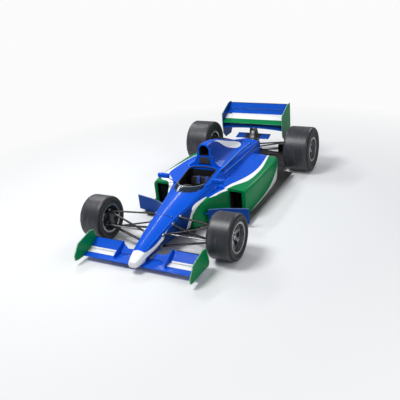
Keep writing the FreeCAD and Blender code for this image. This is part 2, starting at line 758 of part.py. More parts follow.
def front_upright():
    """Left front upright: spindle, kingpin studs, steering arm and caliper."""
    y, z = y_front_axle, front_spindle_z
    shelf = kingpin_half_height - 14
    body = box(kingpin_x - 24, kingpin_x + 24, y - 34, y + 34, z - shelf, z + shelf)
    studs = rod(Vector(kingpin_x, y, z - kingpin_half_height - 14),
                Vector(kingpin_x, y, z + kingpin_half_height + 14), kingpin_radius)
    arm_z = rack_z + 22
    arm = box(kingpin_x - 10, kingpin_x + 10, rack_y - 10, y, arm_z - 8, arm_z + 8)
    pin = rod(Vector(kingpin_x, rack_y, rack_z - 14), Vector(kingpin_x, rack_y, arm_z), track_pin_radius)
    return body.fuse([spindle(front_centre, front_tyre_width, kingpin_x), studs, arm, pin,
                      caliper(front_centre, front_tyre_width, kingpin_x + 24)])


def front_wishbones():
    """Left upper and lower wishbones, with the pushrod on the lower one."""
    hole = kingpin_radius + running_clearance
    well = Part.makeCylinder(hole, 400, Vector(kingpin_x, y_front_axle, front_spindle_z - 200))
    arms = []
    upper = [Vector(100, y_front_axle - 170, 252), Vector(100, y_front_axle + 180, 330)]
    lower = [Vector(80, y_front_axle - 190, 116), Vector(90, y_front_axle + 210, 122)]
    for level, picks, chord in ((1, upper, 30), (-1, lower, 40)):
        outer = Vector(kingpin_x, y_front_axle, front_spindle_z + level * kingpin_half_height)
        solid = Part.makeCylinder(hole + eye_wall, eye_height, outer - Vector(0, 0, eye_height / 2))
        for pick in picks:
            solid = solid.fuse(blade(outer, pick, chord, 14))
        if level < 0:
            foot = outer + ((picks[0] + picks[1]) * 0.5 - outer) * 0.12
            solid = solid.fuse(blade(foot, Vector(100, y_front_axle + 30, 300), 24, 16))
        arms.append(largest(solid.cut(well).cut(body_solid)))
    return arms


def track_rods():
    """Steering rack bar with a track rod to each side."""
    hole = track_pin_radius + track_eye_play
    bar = rod(Vector(-kingpin_x, rack_y, rack_z), Vector(kingpin_x, rack_y, rack_z), rack_radius)
    for x in (-kingpin_x, kingpin_x):
        bar = bar.fuse(Part.makeCylinder(hole + eye_wall, 14, Vector(x, rack_y, rack_z - 7)))
    for x in (-kingpin_x, kingpin_x):
        bar = bar.cut(Part.makeCylinder(hole, 60, Vector(x, rack_y, rack_z - 30)))
    return bar


def rack_tunnel():
    """Bore through the nose that guides the rack."""
    return rod(Vector(-400, rack_y, rack_z), Vector(400, rack_y, rack_z), rack_radius + running_clearance)


def rear_upright():
    """Left rear upright with its spindle and caliper."""
    y, z = y_rear_axle, rear_spindle_z
    body = box(rear_link_x, rear_link_x + 60, y - 45, y + 45, z - 112, z + 112)
    collar = rod(Vector(rear_link_x + 50, y, z), Vector(rear_link_x + 150, y, z), 40)
    return body.fuse([spindle(rear_centre, rear_tyre_width, rear_link_x + 30), collar,
                      caliper(rear_centre, rear_tyre_width, rear_link_x + 60)])


def rear_arms(case):
    """Left rear wishbones, with the pushrod on the lower one, cut where they meet the gear case."""
    arms = []
    pairs = ((rear_spindle_z + 92, gearbox_top_z - 24, (-150, 40)),
             (rear_spindle_z - 92, gearbox_bottom_z + 40, (-150, 60)))
    for z_out, z_in, spreads in pairs:
        outer = Vector(rear_link_x - 7, y_rear_axle, z_out)
        solid = box(rear_link_x - 16, rear_link_x, y_rear_axle - 22, y_rear_axle + 22, z_out - 11, z_out + 11)
        for spread in spreads:
            solid = solid.fuse(blade(outer, Vector(40, y_rear_axle + spread, z_in), 34, 16))
        if z_out < rear_spindle_z:
            foot = Vector(rear_link_x - 50, y_rear_axle - 18, z_out - 10)
            solid = solid.fuse(blade(foot, Vector(40, y_rear_axle - 130, gearbox_top_z - 30), 22, 18))
        solid = solid.cut(box(rear_link_x, rear_link_x + 60, y_rear_axle - 60, y_rear_axle + 60, 0, 600))
        arms.append(largest(solid.cut(case)))
    return arms


def rear_damper(case):
    """Left spring and damper lying on the gear case, with its foot and its rocker."""
    x, z = 60, gearbox_top_z + 34
    front, rear = cover_rear_y + 10, y_rear_axle - 22
    foot = box(x - 12, x + 12, front, front + 18, gearbox_top_z - 20, z + 12)
    body = rod(Vector(x, front, z), Vector(x, rear - 60, z), 14)
    shaft = rod(Vector(x, front, z), Vector(x, rear - 8, z), 7)
    coils = [(0, 12)]
    for k in range(8):
        coils += [(8 * k, 20), (8 * k + 4, 24)]
    coils += [(64, 20), (64, 12)]
    wire = polygon([Vector(x + r, front + 28 + along, z) for along, r in coils])
    spring = Part.Face(wire).revolve(Vector(x, front, z), Vector(0, 1, 0), 360)
    eye = rod(Vector(x - 9, rear - 8, z), Vector(x + 34, rear - 8, z), 11)
    rocker = side_plate([(rear - 34, gearbox_top_z - 30), (rear - 26, z + 16), (rear + 6, z + 16),
                         (rear + 14, gearbox_top_z - 30)], x + 24, 9)
    return largest(body.fuse([foot, shaft, spring, eye, rocker]).cut(case))


def driveshaft(case):
    """Left driveshaft between gearbox and upright."""
    start = Vector(20, y_rear_axle, rear_spindle_z - 76)
    end = Vector(rear_link_x, y_rear_axle, rear_spindle_z)
    shaft = rod(start, end + (end - start) * 0.1, 20)
    keep = box(0, rear_link_x, y_rear_axle - 50, y_rear_axle + 50, 0, 600)
    return largest(shaft.common(keep).cut(case))


# Cockpit and small pieces

def windscreen():
    """Low curved screen around the front of the cockpit opening."""
    shells = []
    centre_y = opening_front_y + opening_half_width
    for skin in (0, 4):
        wires = []
        for z, grow, back in ((430, 46, 0), (552, 4, 52)):
            ring = Part.Ellipse(Vector(0, centre_y + back, z), opening_half_width + grow + 18 - skin,
                                opening_half_width + grow - 4 - skin)
            wires.append(Part.Wire(ring.toShape()))
        shells.append(Part.makeLoft(wires, True, True))
    keep = box(-400, 400, dash_y - 200, opening_front_y + 104, 400, 528)
    return largest(shells[0].cut(shells[1]).common(keep).cut(tub_solid))


def mirror_pod():
    """Left mirror with rounded edges, on its stalk."""
    y = dash_y + 190
    x = tub_half_width + 8
    pod = box(x, x + mirror_width, y - mirror_depth / 2, y + mirror_depth / 2, 528, 528 + mirror_height)
    pod = pod.makeFillet(mirror_height * 0.32, pod.Edges)
    stalk = rod(Vector(200, y, 468), Vector(x + 50, y, 552), 7)
    return pod.fuse(stalk).cut(tub_solid)


def seat():
    """Moulded seat shell with raised sides, shaped to the tub's floor."""
    low = deck_z + tub_wall
    back = opening_rear_y
    face = back - seat_back_thickness
    profile = [(back - 340, low - 10), (back, low - 10), (back, seat_back_z), (face, seat_back_z),
               (face - seat_back_slope, low + 60), (back - 300, low + 16), (back - 340, low + 40)]
    shell = side_plate(profile, -150, 300)
    side = [(back - 340, low), (back, low), (back, seat_back_z), (face - 26, seat_back_z),
            (face - 96, low + 120), (back - 300, low + 76), (back - 340, low + 80)]
    for x in (-174, 150):
        shell = shell.fuse(side_plate(side, x, 24))
    return shell.cut(monocoque)


def harness():
    """Two shoulder straps lying on the seat back."""
    low = deck_z + tub_wall
    top = Vector(0, opening_rear_y - seat_back_thickness, seat_back_z)
    end = Vector(0, opening_rear_y - seat_back_thickness - seat_back_slope, low + 60)
    way = (end - top) * 0.96
    off = Vector(0, way.z, -way.y)
    off.normalize()
    straps = []
    for x in (-82, 38):
        corner = top + off * seat_gap + Vector(x, 0, 0)
        wide = Vector(44, 0, 0)
        straps.append(slab([corner, corner + wide, corner + wide + way, corner + way], off * 4))
    return straps


column_way = Vector(0, 0.94, 0.34)
column_way.normalize()
wheel_centre = Vector(0, opening_front_y + 84, 388)


def steering_wheel():
    """Wheel rim, grip bar and column."""
    ring = Part.makeTorus(118, 13, wheel_centre, column_way)
    bar = box(-116, 116, -14, 14, -8, 8)
    bar.Placement = FreeCAD.Placement(wheel_centre, FreeCAD.Rotation(Vector(0, 0, 1), column_way))
    return ring.fuse([bar, rod(wheel_centre, wheel_centre - column_way * 300, column_radius)])


def dashboard():
    """Bulkhead across the tub that carries the steering column."""
    y = dash_y - 40
    plate = body_loft(tub_wall).common(box(-400, 400, y, y + 14, leg_room_z, tub_top_z))
    bore = rod(wheel_centre, wheel_centre - column_way * 400, column_radius + running_clearance)
    return plate.cut(bore)


def bargeboard():
    """Left bargeboard: a tall curved plate behind the front wheel, on the floor and a strut to the tub."""
    path = [(330, y_front_axle + 574), (470, y_front_axle + 652), (640, y_front_axle + 704),
            (800, y_front_axle + 742)]
    half = board_thickness / 2
    outer = [Vector(x, y - half, deck_z) for x, y in path]
    inner = [Vector(x, y + half, deck_z) for x, y in path]
    wire = Part.Wire([spline(outer), Part.makeLine(outer[-1], inner[-1]), spline(inner),
                      Part.makeLine(inner[0], outer[0])])
    plate = Part.Face(wire).extrude(Vector(0, 0, board_height))
    strut = blade(Vector(334, y_front_axle + 577, 200), Vector(120, y_front_axle + 577, 210), 26, 12)
    return largest(plate.fuse(strut).cut(body_solid).cut(pod_shoulder()))


nodes = {}


def both_sides(name, shape):
    """A piece and its mirror image, as two nodes."""
    nodes[name + "_left"] = shape
    nodes[name + "_right"] = mirrored(shape)


def paired(name, shapes):
    """A node made of left pieces and their mirror images."""
    nodes[name] = Part.makeCompound(shapes + [mirrored(s) for s in shapes])


case = gearbox()
main, flaps, arched = rear_wing_elements()
winglet = tail_winglet().cut(case)

nodes["nose_cone"] = nose_solid.cut(rack_tunnel())
nodes["monocoque"] = monocoque
nodes["engine_cover"] = engine_cover()
nodes["headrest"] = headrest()
nodes["engine"] = engine()
nodes["gearbox"] = case
nodes["rain_light"] = rain_light()
nodes["exhausts"] = Part.makeCompound([exhaust(side, exhaust_radius, exhaust_wall) for side in (-1, 1)])
nodes["floor"] = floor()
nodes["diffuser"] = diffuser()
nodes["skid_plank"] = skid_plank()
front_plane = front_wing_main()
flap = front_flap()
nodes["front_wing_main"] = front_plane
nodes["rear_wing_main"] = main
nodes["rear_wing_flaps"] = flaps
nodes["rear_wing_lower"] = arched
nodes["tail_winglet"] = winglet
arms = rear_arms(case)
crossed = [case, winglet, arched, main] + arms + [mirrored(arm) for arm in arms]
nodes["rear_wing_pylon"] = Part.makeCompound(wing_pylon(crossed))
nodes["windscreen"] = windscreen()
nodes["dashboard"] = dashboard()
nodes["seat"] = seat()
nodes["harness"] = Part.makeCompound(harness())
nodes["steering_wheel"] = steering_wheel()
nodes["track_rods"] = track_rods()
both_sides("sidepod", sidepod())
both_sides("front_upright", front_upright())
paired("radiators", [radiator()])
paired("front_flaps", [flap])
paired("front_fences", [front_fence([front_plane, flap])])
paired("front_endplates", [front_endplate()])
paired("rear_endplates", [rear_endplate()])
paired("bargeboards", [bargeboard()])
paired("mirrors", [mirror_pod()])
paired("front_wishbones", front_wishbones())
paired("rear_wishbones", arms)
paired("driveshafts", [driveshaft(case)])
paired("rear_dampers", [rear_damper(case)])
paired("rear_uprights", [rear_upright()])
both_sides("tyre_front", tyre(front_centre, front_tyre_radius, front_tyre_width))
both_sides("tyre_rear", tyre(rear_centre, rear_tyre_radius, rear_tyre_width))
both_sides("rim_front", rim(front_centre, front_tyre_width))
both_sides("rim_rear", rim(rear_centre, rear_tyre_width))

os.makedirs("parts", exist_ok=True)
for name, shape in nodes.items():
    shape.exportStep("parts/%s.step" % name)
    print(name, len(shape.Solids), round(shape.Volume / 1e6, 2), "litres", shape.isValid())
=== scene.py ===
"""Looks of the open wheel racing car: paint, carbon, rubber, metal and cockpit trim on its solid pieces."""
import math

import bmesh
import bpy
from mathutils import Matrix, Vector
from mathutils.bvhtree import BVHTree


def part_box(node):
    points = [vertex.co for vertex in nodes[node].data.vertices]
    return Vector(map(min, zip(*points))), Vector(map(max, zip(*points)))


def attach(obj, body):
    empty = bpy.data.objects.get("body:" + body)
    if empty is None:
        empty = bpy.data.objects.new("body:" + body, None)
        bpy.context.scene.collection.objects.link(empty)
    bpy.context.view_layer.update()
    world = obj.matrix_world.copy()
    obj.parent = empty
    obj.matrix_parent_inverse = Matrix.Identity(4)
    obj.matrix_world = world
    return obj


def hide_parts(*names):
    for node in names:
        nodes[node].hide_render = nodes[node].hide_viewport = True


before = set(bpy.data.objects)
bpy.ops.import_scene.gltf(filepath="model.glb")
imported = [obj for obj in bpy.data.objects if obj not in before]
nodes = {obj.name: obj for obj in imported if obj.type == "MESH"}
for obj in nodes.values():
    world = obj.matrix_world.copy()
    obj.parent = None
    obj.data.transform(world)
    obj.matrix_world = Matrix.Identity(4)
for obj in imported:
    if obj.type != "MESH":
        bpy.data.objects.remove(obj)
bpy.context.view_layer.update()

# Camera and studio.
# The car stands on a plain pale floor under soft lamps, seen from well ahead of its left front wheel and
# from about three metres up.

camera_azimuth, camera_tilt, camera_roll = (math.radians(a) for a in (29.204, 23.918, -5.492))
camera_place = Vector((3.244, -6.074, 3.120))


def camera_frame():
    """The camera's right, up and backward directions."""
    back = Vector((math.sin(camera_azimuth) * math.cos(camera_tilt),
                   -math.cos(camera_azimuth) * math.cos(camera_tilt), math.sin(camera_tilt)))
    right = Vector((0, 0, 1)).cross(back).normalized()
    up = back.cross(right)
    cos_r, sin_r = math.cos(camera_roll), math.sin(camera_roll)
    return right * cos_r + up * sin_r, up * cos_r - right * sin_r, back


camera = bpy.data.objects.new("camera", bpy.data.cameras.new("camera"))
bpy.context.scene.collection.objects.link(camera)
camera.data.lens = 49.6
camera.data.sensor_width = 36.0
right, up, back = camera_frame()
camera.matrix_world = Matrix.Translation(camera_place) @ Matrix((right, up, back)).transposed().to_4x4()
bpy.context.scene.camera = camera
bpy.context.scene.view_settings.view_transform = "Standard"


def lamp(name, place, target, size, power, width=None, along=(1, 0, 0)):
    """A soft lamp that points at a place: square, or a strip of another width that lies along a way."""
    light = bpy.data.objects.new(name, bpy.data.lights.new(name, "AREA"))
    bpy.context.scene.collection.objects.link(light)
    light.data.size = size
    if width:
        light.data.shape = "RECTANGLE"
        light.data.size_y = width
    light.data.energy = power
    back = (Vector(place) - Vector(target)).normalized()
    side = (Vector(along) - back * back.dot(Vector(along))).normalized()
    turn = Matrix((side, back.cross(side), back)).transposed().to_4x4()
    light.matrix_world = Matrix.Translation(place) @ turn


car_middle = (0, 0, 0.3)
lamp("key_lamp", (-2.2, -2.6, 6.6), car_middle, 2.4, 400)
lamp("side_lamp", (6.5, -3.0, 3.4), car_middle, 2.4, 110)
lamp("rear_lamp", (1.5, 6.0, 4.6), (0, 0.4, 0.4), 2.4, 110)
# A narrow strip draws the pale line along the top of the nose.
lamp("strip_lamp", (-4.15, 2.50, 4.80), (0, -1.2, 0.35), 3.6, 120, 0.36, (-0.31, -0.95, 0.07))

world = bpy.data.worlds.new("studio")
bpy.context.scene.world = world
world.use_nodes = True
sky = world.node_tree.nodes["Background"]
sky.inputs["Color"].default_value = (0.86, 0.88, 0.92, 1)
sky.inputs["Strength"].default_value = 0.40


def link_node(tree, kind, **inputs):
    """A shader node with its inputs set to values or joined to other nodes' outputs."""
    made = tree.nodes.new("ShaderNode" + kind)
    for key, value in inputs.items():
        numbered = key[0] == "i" and key[1:].isdigit()
        place = made.inputs[int(key[1:])] if numbered else made.inputs[key.replace("_", " ")]
        if isinstance(value, bpy.types.NodeSocket):
            tree.links.new(value, place)
        else:
            place.default_value = value
    return made


def calc(tree, operation, first, second=0.0, clamp=False):
    """One sum of two values in a material."""
    made = link_node(tree, "Math", i0=first, i1=second)
    made.operation = operation
    made.use_clamp = clamp
    return made.outputs[0]


def finish(name, colour, roughness, metallic=0.0, coat=0.0, coat_roughness=0.05):
    """A new material with its plain shader values."""
    made = bpy.data.materials.new(name)
    made.use_nodes = True
    made.diffuse_color = (*colour, 1)
    shader = made.node_tree.nodes["Principled BSDF"]
    shader.inputs["Base Color"].default_value = (*colour, 1)
    shader.inputs["Roughness"].default_value = roughness
    shader.inputs["Metallic"].default_value = metallic
    shader.inputs["Coat Weight"].default_value = coat
    shader.inputs["Coat Roughness"].default_value = coat_roughness
    return made


def place_of(tree):
    """The point on the piece in its own frame, as a vector and as x, y and z."""
    point = tree.nodes.new("ShaderNodeTexCoord").outputs["Object"]
    split = link_node(tree, "SeparateXYZ", i0=point)
    return point, split.outputs[0], split.outputs[1], split.outputs[2]


def grain(tree, point, scale, detail=4.0, stretch=(1, 1, 1)):
    """Fine uneven noise at a scale in waves to the metre."""
    mapped = link_node(tree, "Mapping", Vector=point, Scale=stretch)
    return link_node(tree, "TexNoise", Vector=mapped.outputs[0], Scale=scale, Detail=detail).outputs[0]


def between(tree, source, low, high, least=0.0, most=1.0):
    """A value that goes from low to high as another goes from least to most."""
    return link_node(tree, "MapRange", Value=source, i1=least, i2=most, i3=low, i4=high).outputs[0]


def rough(made, value):
    """Give a material a roughness that varies."""
    made.node_tree.links.new(value, made.node_tree.nodes["Principled BSDF"].inputs["Roughness"])


def bumpy(made, height, strength, distance):
    """Bump from a height value."""
    tree = made.node_tree
    bump = link_node(tree, "Bump", Height=height, Strength=strength, Distance=distance)
    tree.links.new(bump.outputs[0], tree.nodes["Principled BSDF"].inputs["Normal"])


def painted(tree, base, mask, colour, blend="MIX"):
    """Lay a colour over another where a mask holds."""
    made = tree.nodes.new("ShaderNodeMix")
    made.data_type = "RGBA"
    made.blend_type = blend
    ends = [s for s in made.inputs if s.type == "RGBA"]
    for place, value in ((made.inputs["Factor"], mask), (ends[0], base), (ends[1], colour)):
        if isinstance(value, bpy.types.NodeSocket):
            tree.links.new(value, place)
        elif isinstance(value, float):
            place.default_value = value
        else:
            place.default_value = (*value, 1)
    return [s for s in made.outputs if s.type == "RGBA"][0]


def coloured(made, colour):
    """Give a material a colour that varies."""
    made.node_tree.links.new(colour, made.node_tree.nodes["Principled BSDF"].inputs["Base Color"])


def drifting(tree, point, colour, scale=3.0, low=0.90, high=1.08):
    """A colour that wanders a little lighter and darker."""
    return painted(tree, colour, 1.0, between(tree, grain(tree, point, scale), low, high), "MULTIPLY")


def dress(made, *names):
    """Give solid pieces their material."""
    for name in names:
        slots = nodes[name].data.materials
        slots.clear()
        slots.append(made)


floor_half = 30
floor_sheet = bpy.data.meshes.new("studio_floor")
floor_corners = [(floor_half * i, floor_half * j, 0) for i, j in ((-1, -1), (1, -1), (1, 1), (-1, 1))]
floor_sheet.from_pydata(floor_corners, [], [(0, 1, 2, 3)])
studio_floor = bpy.data.objects.new("studio_floor", floor_sheet)
bpy.context.scene.collection.objects.link(studio_floor)
pale_floor = finish("pale_floor", (0.72, 0.73, 0.74), 0.7)
floor_sheet.materials.append(pale_floor)


def seen_white(tree, mask):
    """How far a thing that faces the camera is taken to plain white: only on the camera's own rays."""
    return calc(tree, "MULTIPLY", tree.nodes.new("ShaderNodeLightPath").outputs["Is Camera Ray"], mask)


def reach_of(tree, first, second, centre=(0.0, 0.0)):
    """How far a point is from a centre, from two of its measures."""
    squares = [calc(tree, "POWER", calc(tree, "SUBTRACT", measure, middle), 2.0)
               for measure, middle in zip((first, second), centre)]
    return calc(tree, "SQRT", calc(tree, "ADD", *squares))


white_level, white_from, white_to = 0.97, 2.4, 5.2
tree = pale_floor.node_tree
point, x, y, z = place_of(tree)
paling = between(tree, reach_of(tree, x, y), 0.0, 1.0, white_from, white_to)
glow = link_node(tree, "Emission", Color=(1, 1, 1, 1), Strength=white_level)
blend = link_node(tree, "MixShader", i0=seen_white(tree, paling),
                  i1=tree.nodes["Principled BSDF"].outputs[0], i2=glow.outputs[0])
tree.links.new(blend.outputs[0], tree.nodes["Material Output"].inputs["Surface"])
tree = world.node_tree
backdrop = link_node(tree, "Background", Color=(1, 1, 1, 1), Strength=white_level)
blend = link_node(tree, "MixShader", i0=seen_white(tree, 1.0), i1=sky.outputs[0], i2=backdrop.outputs[0])
tree.links.new(blend.outputs[0], tree.nodes["World Output"].inputs["Surface"])

# Bodywork: nose, tub, engine cover and sidepods.
# Moulded panels sprayed gloss blue, with a white nose tip and green and white stripes along the flanks,
# all under one clear coat. Their insides are bare dark laminate.

blue = (0.002, 0.085, 0.60)
deep_blue = (0.002, 0.035, 0.20)
green = (0.001, 0.19, 0.060)
white = (0.84, 0.85, 0.86)
laminate = (0.018, 0.018, 0.02)
seam_colour = (0.004, 0.006, 0.02)


def curve_of(tree, source, points):
    """A stripe's edge: a smooth line through points of the car's length and another measure, in metres."""
    made = link_node(tree, "FloatCurve", Value=between(tree, source, 0.0, 1.0, -2.0, 2.0))
    curve = made.mapping.curves[0]
    for y, value in points[1:-1]:
        curve.points.new((y + 2) / 4, value)
    for place, (y, value) in ((0, points[0]), (len(curve.points) - 1, points[-1])):
        curve.points[place].location = ((y + 2) / 4, value)
    made.mapping.update()
    return made.outputs[0]


def past(tree, value, edge, softness=0.0015):
    """1 where a value is past an edge and 0 before it, with a narrow soft line between."""
    gap = calc(tree, "SUBTRACT", value, edge)
    return calc(tree, "ADD", calc(tree, "DIVIDE", gap, softness), 0.5, clamp=True)


def both(tree, *masks):
    """Where all the masks hold."""
    made = masks[0]
    for other in masks[1:]:
        made = calc(tree, "MULTIPLY", made, other)
    return made


def either(tree, *masks):
    """Where any of the masks holds."""
    made = masks[0]
    for other in masks[1:]:
        made = calc(tree, "MAXIMUM", made, other)
    return made


def within(tree, x, y, z, low, high):
    """Inside a box, given as its lowest and highest corners."""
    masks = []
    for value, least, most in zip((x, y, z), low, high):
        masks += [past(tree, value, least), past(tree, most, value)]
    return both(tree, *masks)


def on_line(tree, value, at, width):
    """Along a line where a value passes a place."""
    return both(tree, past(tree, value, at - width / 2, 0.0008), past(tree, at + width / 2, value, 0.0008))


def paint_finish(name, colour, coat=0.16):
    """Gloss car paint: a faint ripple, uneven polish and a clear coat."""
    made = finish(name, colour, 0.34, coat=coat, coat_roughness=0.06)
    tree = made.node_tree
    tree.nodes["Principled BSDF"].inputs["Specular IOR Level"].default_value = 0.05
    point, x, y, z = place_of(tree)
    rough(made, between(tree, grain(tree, point, 14), 0.30, 0.42))
    bumpy(made, grain(tree, point, 260, 2), 0.03, 0.001)
    return made, tree, point, x, y, z


def dusty(tree, point, z, colour):
    """Grey road dust that thins out with height."""
    low = between(tree, z, 0.16, 0.0, 0.03, 0.16)
    speckled = past(tree, grain(tree, point, 26, 8), 0.52, 0.2)
    return painted(tree, colour, both(tree, low, speckled), (0.12, 0.115, 0.11))


def plain_paint(name, colour, coat=0.16, dust=False):
    """Paint of one colour, with road dust on it where that is asked for."""
    made, tree, point, x, y, z = paint_finish(name, colour, coat)
    drift = drifting(tree, point, colour)
    coloured(made, dusty(tree, point, z, drift) if dust else drift)
    return made


body_paint, tree, point, x, y, z = paint_finish("body_paint", blue)
side = calc(tree, "ABSOLUTE", x)

tip_edge = -1.758
band_top = [(-2.0, 0.20), (-1.78, 0.197), (-1.68, 0.195), (-1.60, 0.204), (-1.50, 0.230), (-1.39, 0.264),
            (-1.32, 0.283), (-1.2, 0.30), (2.0, 0.3)]
band_low = [(-2.0, 0.12), (-1.78, 0.133), (-1.69, 0.142), (-1.60, 0.150), (-1.51, 0.184), (-1.41, 0.238),
            (-1.32, 0.283), (-1.2, 0.30), (2.0, 0.3)]
flank_shade_top = band_low[:6] + [(-1.32, 0.276), (-1.20, 0.300), (-1.05, 0.335), (-0.86, 0.362), (-0.70, 0.380),
                            (2.0, 0.38)]
tub_white = [(-2.0, 0.0), (-0.93, 0.0), (-0.905, 0.22), (-0.885, 0.31), (-0.85, 0.350), (-0.76, 0.373),
             (-0.68, 0.378), (-0.60, 0.380), (-0.56, 0.374), (-0.53, 0.0), (2.0, 0.0)]
tub_green = [(-2.0, 0.0), (-0.87, 0.0), (-0.84, 0.17), (-0.825, 0.25), (-0.79, 0.306), (-0.71, 0.341),
             (-0.62, 0.354), (-0.56, 0.352), (-0.53, 0.0), (2.0, 0.0)]

# The nose and the tub: blue above; below the roll deep blue, partly the paint's own colour and partly painted
# shade; white tip and bands, green at the tub's foot.
flank_shade_rear, band_rear, nose_joint_y, seam_width = -0.60, -1.32, -1.170, 0.008
# Deep blue below the roll: partly the paint's own colour, partly painted shade on the flank as it turns
# under.
deep_and_shaded_flank = both(tree, past(tree, curve_of(tree, y, flank_shade_top), z), past(tree, flank_shade_rear, y))
colour = painted(tree, blue, deep_and_shaded_flank, deep_blue)
band = both(tree, past(tree, curve_of(tree, y, band_top), z), past(tree, z, curve_of(tree, y, band_low)),
            past(tree, band_rear, y))
colour = painted(tree, colour, either(tree, band, past(tree, tip_edge, y)), white)
colour = painted(tree, colour, past(tree, curve_of(tree, y, tub_white), z), white)
colour = painted(tree, colour, past(tree, curve_of(tree, y, tub_green), z), green)
colour = painted(tree, colour, on_line(tree, y, nose_joint_y, seam_width), seam_colour)
colour = dusty(tree, point, z, drifting(tree, point, colour))


def facing_in(tree, x, z, middle_z):
    """Where a surface faces back to a line along the middle of the car."""
    normal = link_node(tree, "SeparateXYZ", i0=tree.nodes.new("ShaderNodeNewGeometry").outputs["Normal"])
    outward = calc(tree, "ADD", calc(tree, "MULTIPLY", normal.outputs[0], x),
                   calc(tree, "MULTIPLY", normal.outputs[2], calc(tree, "SUBTRACT", z, middle_z)))
    return past(tree, -0.001, outward, 0.002)


# The driver's space is bare laminate inside.
space_front, space_rear, space_top, space_half, space_middle = -1.12, -0.090, 0.56, 0.287, 0.25
driver_space = both(tree, facing_in(tree, x, z, space_middle), past(tree, y, space_front),
                    past(tree, space_rear, y), past(tree, space_top, z), past(tree, space_half, side))
rear_wall = within(tree, side, y, z, (-1, -0.0955, 0.07), (0.275, -0.0905, 0.535))
coloured(body_paint, painted(tree, colour, either(tree, driver_space, rear_wall), laminate))
dress(body_paint, "nose_cone", "monocoque")

# The sidepods: blue on top, a white band, then green down the flank to a white foot that widens rearward.
# The two sides differ: the right one's band starts later and swells more.
white_from_left = [(-2.0, 0.0), (-0.60, 0.0), (-0.57, 0.28), (-0.538, 0.295), (-0.379, 0.352), (-0.30, 0.388),
                   (-0.18, 0.425), (-0.02, 0.483), (0.17, 0.528), (0.37, 0.547), (0.53, 0.544),
                   (0.70, 0.524), (0.85, 0.500), (1.05, 0.455), (1.2, 0.42), (2.0, 0.42)]
white_from_right = [(-2.0, 0.0), (-0.60, 0.0), (-0.57, 0.28), (-0.538, 0.295), (-0.379, 0.335),
                    (-0.29, 0.370), (-0.207, 0.434), (-0.096, 0.529), (0.0, 0.592), (0.08, 0.603),
                    (0.28, 0.601), (0.47, 0.592), (0.67, 0.561), (0.85, 0.524), (1.05, 0.474), (1.2, 0.434),
                    (2.0, 0.434)]
green_from_left = [(-2.0, 0.0), (-0.58, 0.0), (-0.56, 0.29), (-0.545, 0.300), (-0.483, 0.337), (-0.37, 0.388),
                   (-0.30, 0.430), (-0.19, 0.486), (-0.09, 0.545), (0.03, 0.590), (0.28, 0.604),
                   (0.47, 0.596), (0.67, 0.566), (0.85, 0.530), (1.05, 0.480), (1.2, 0.44), (2.0, 0.44)]
green_from_right = [(-2.0, 0.0), (-0.58, 0.0), (-0.56, 0.29), (-0.483, 0.337), (-0.37, 0.388), (-0.30, 0.440),
                    (-0.271, 0.480), (-0.235, 0.575), (-0.15, 0.630), (-0.05, 0.652), (0.06, 0.652),
                    (0.20, 0.636), (0.35, 0.620), (0.47, 0.608), (0.67, 0.576), (0.85, 0.538), (1.05, 0.487),
                    (2.0, 0.446)]
foot_top = [(-2.0, 0.0), (-0.25, 0.055), (0.0, 0.070), (0.3, 0.082), (0.46, 0.095), (0.63, 0.135),
            (0.78, 0.195), (0.93, 0.25), (1.1, 0.33), (2.0, 0.33)]
pod_paint, tree, point, x, y, z = paint_finish("pod_paint", blue)
side = calc(tree, "ABSOLUTE", x)
colour = blue
for left_edge, right_edge, stripe in ((white_from_left, white_from_right, white),
                                      (green_from_left, green_from_right, green)):
    edge = calc(tree, "ADD", calc(tree, "MULTIPLY", curve_of(tree, y, left_edge), past(tree, x, 0.0)),
                calc(tree, "MULTIPLY", curve_of(tree, y, right_edge), past(tree, 0.0, x)))
    colour = painted(tree, colour, past(tree, side, edge), stripe)
foot_inner, foot_front = 0.47, -0.28
foot = both(tree, past(tree, curve_of(tree, y, foot_top), z), past(tree, side, foot_inner),
            past(tree, y, foot_front))
colour = dusty(tree, point, z, drifting(tree, point, painted(tree, colour, foot, white)))
ducts = within(tree, side, y, z, (0.446, -0.288, 0.068), (0.623, 0.36, 0.3635))
coloured(pod_paint, painted(tree, colour, ducts, laminate))
dress(pod_paint, "sidepod_left", "sidepod_right")

# The engine cover: blue with one long white drop on each side of its spine, painted shade on its steep
# flanks, and a bare air duct.
drop_in = [(-2.0, 0.04), (0.15, 0.048), (0.28, 0.042), (0.46, 0.040), (0.70, 0.034), (0.90, 0.033),
           (1.0, 0.042), (1.02, 0.055), (2.0, 0.055)]
drop_out = [(-2.0, 0.04), (0.15, 0.048), (0.24, 0.052), (0.31, 0.057), (0.48, 0.064), (0.65, 0.078),
            (0.79, 0.093), (0.90, 0.090), (0.98, 0.075), (1.02, 0.055), (2.0, 0.055)]
drop_front, drop_rear, drop_above = 0.15, 1.02, 0.5
front_face_y, front_face_foot, front_face_half = -0.0440, 0.60, 0.100
cover_paint, tree, point, x, y, z = paint_finish("cover_paint", blue)
side = calc(tree, "ABSOLUTE", x)
drop = both(tree, past(tree, side, curve_of(tree, y, drop_in)), past(tree, curve_of(tree, y, drop_out), side),
            past(tree, z, drop_above), past(tree, y, drop_front), past(tree, drop_rear, y))
front_face = both(tree, past(tree, front_face_y, y), past(tree, front_face_foot, z),
                  past(tree, front_face_half, side))
colour = painted(tree, painted(tree, blue, drop, white), front_face, deep_blue)
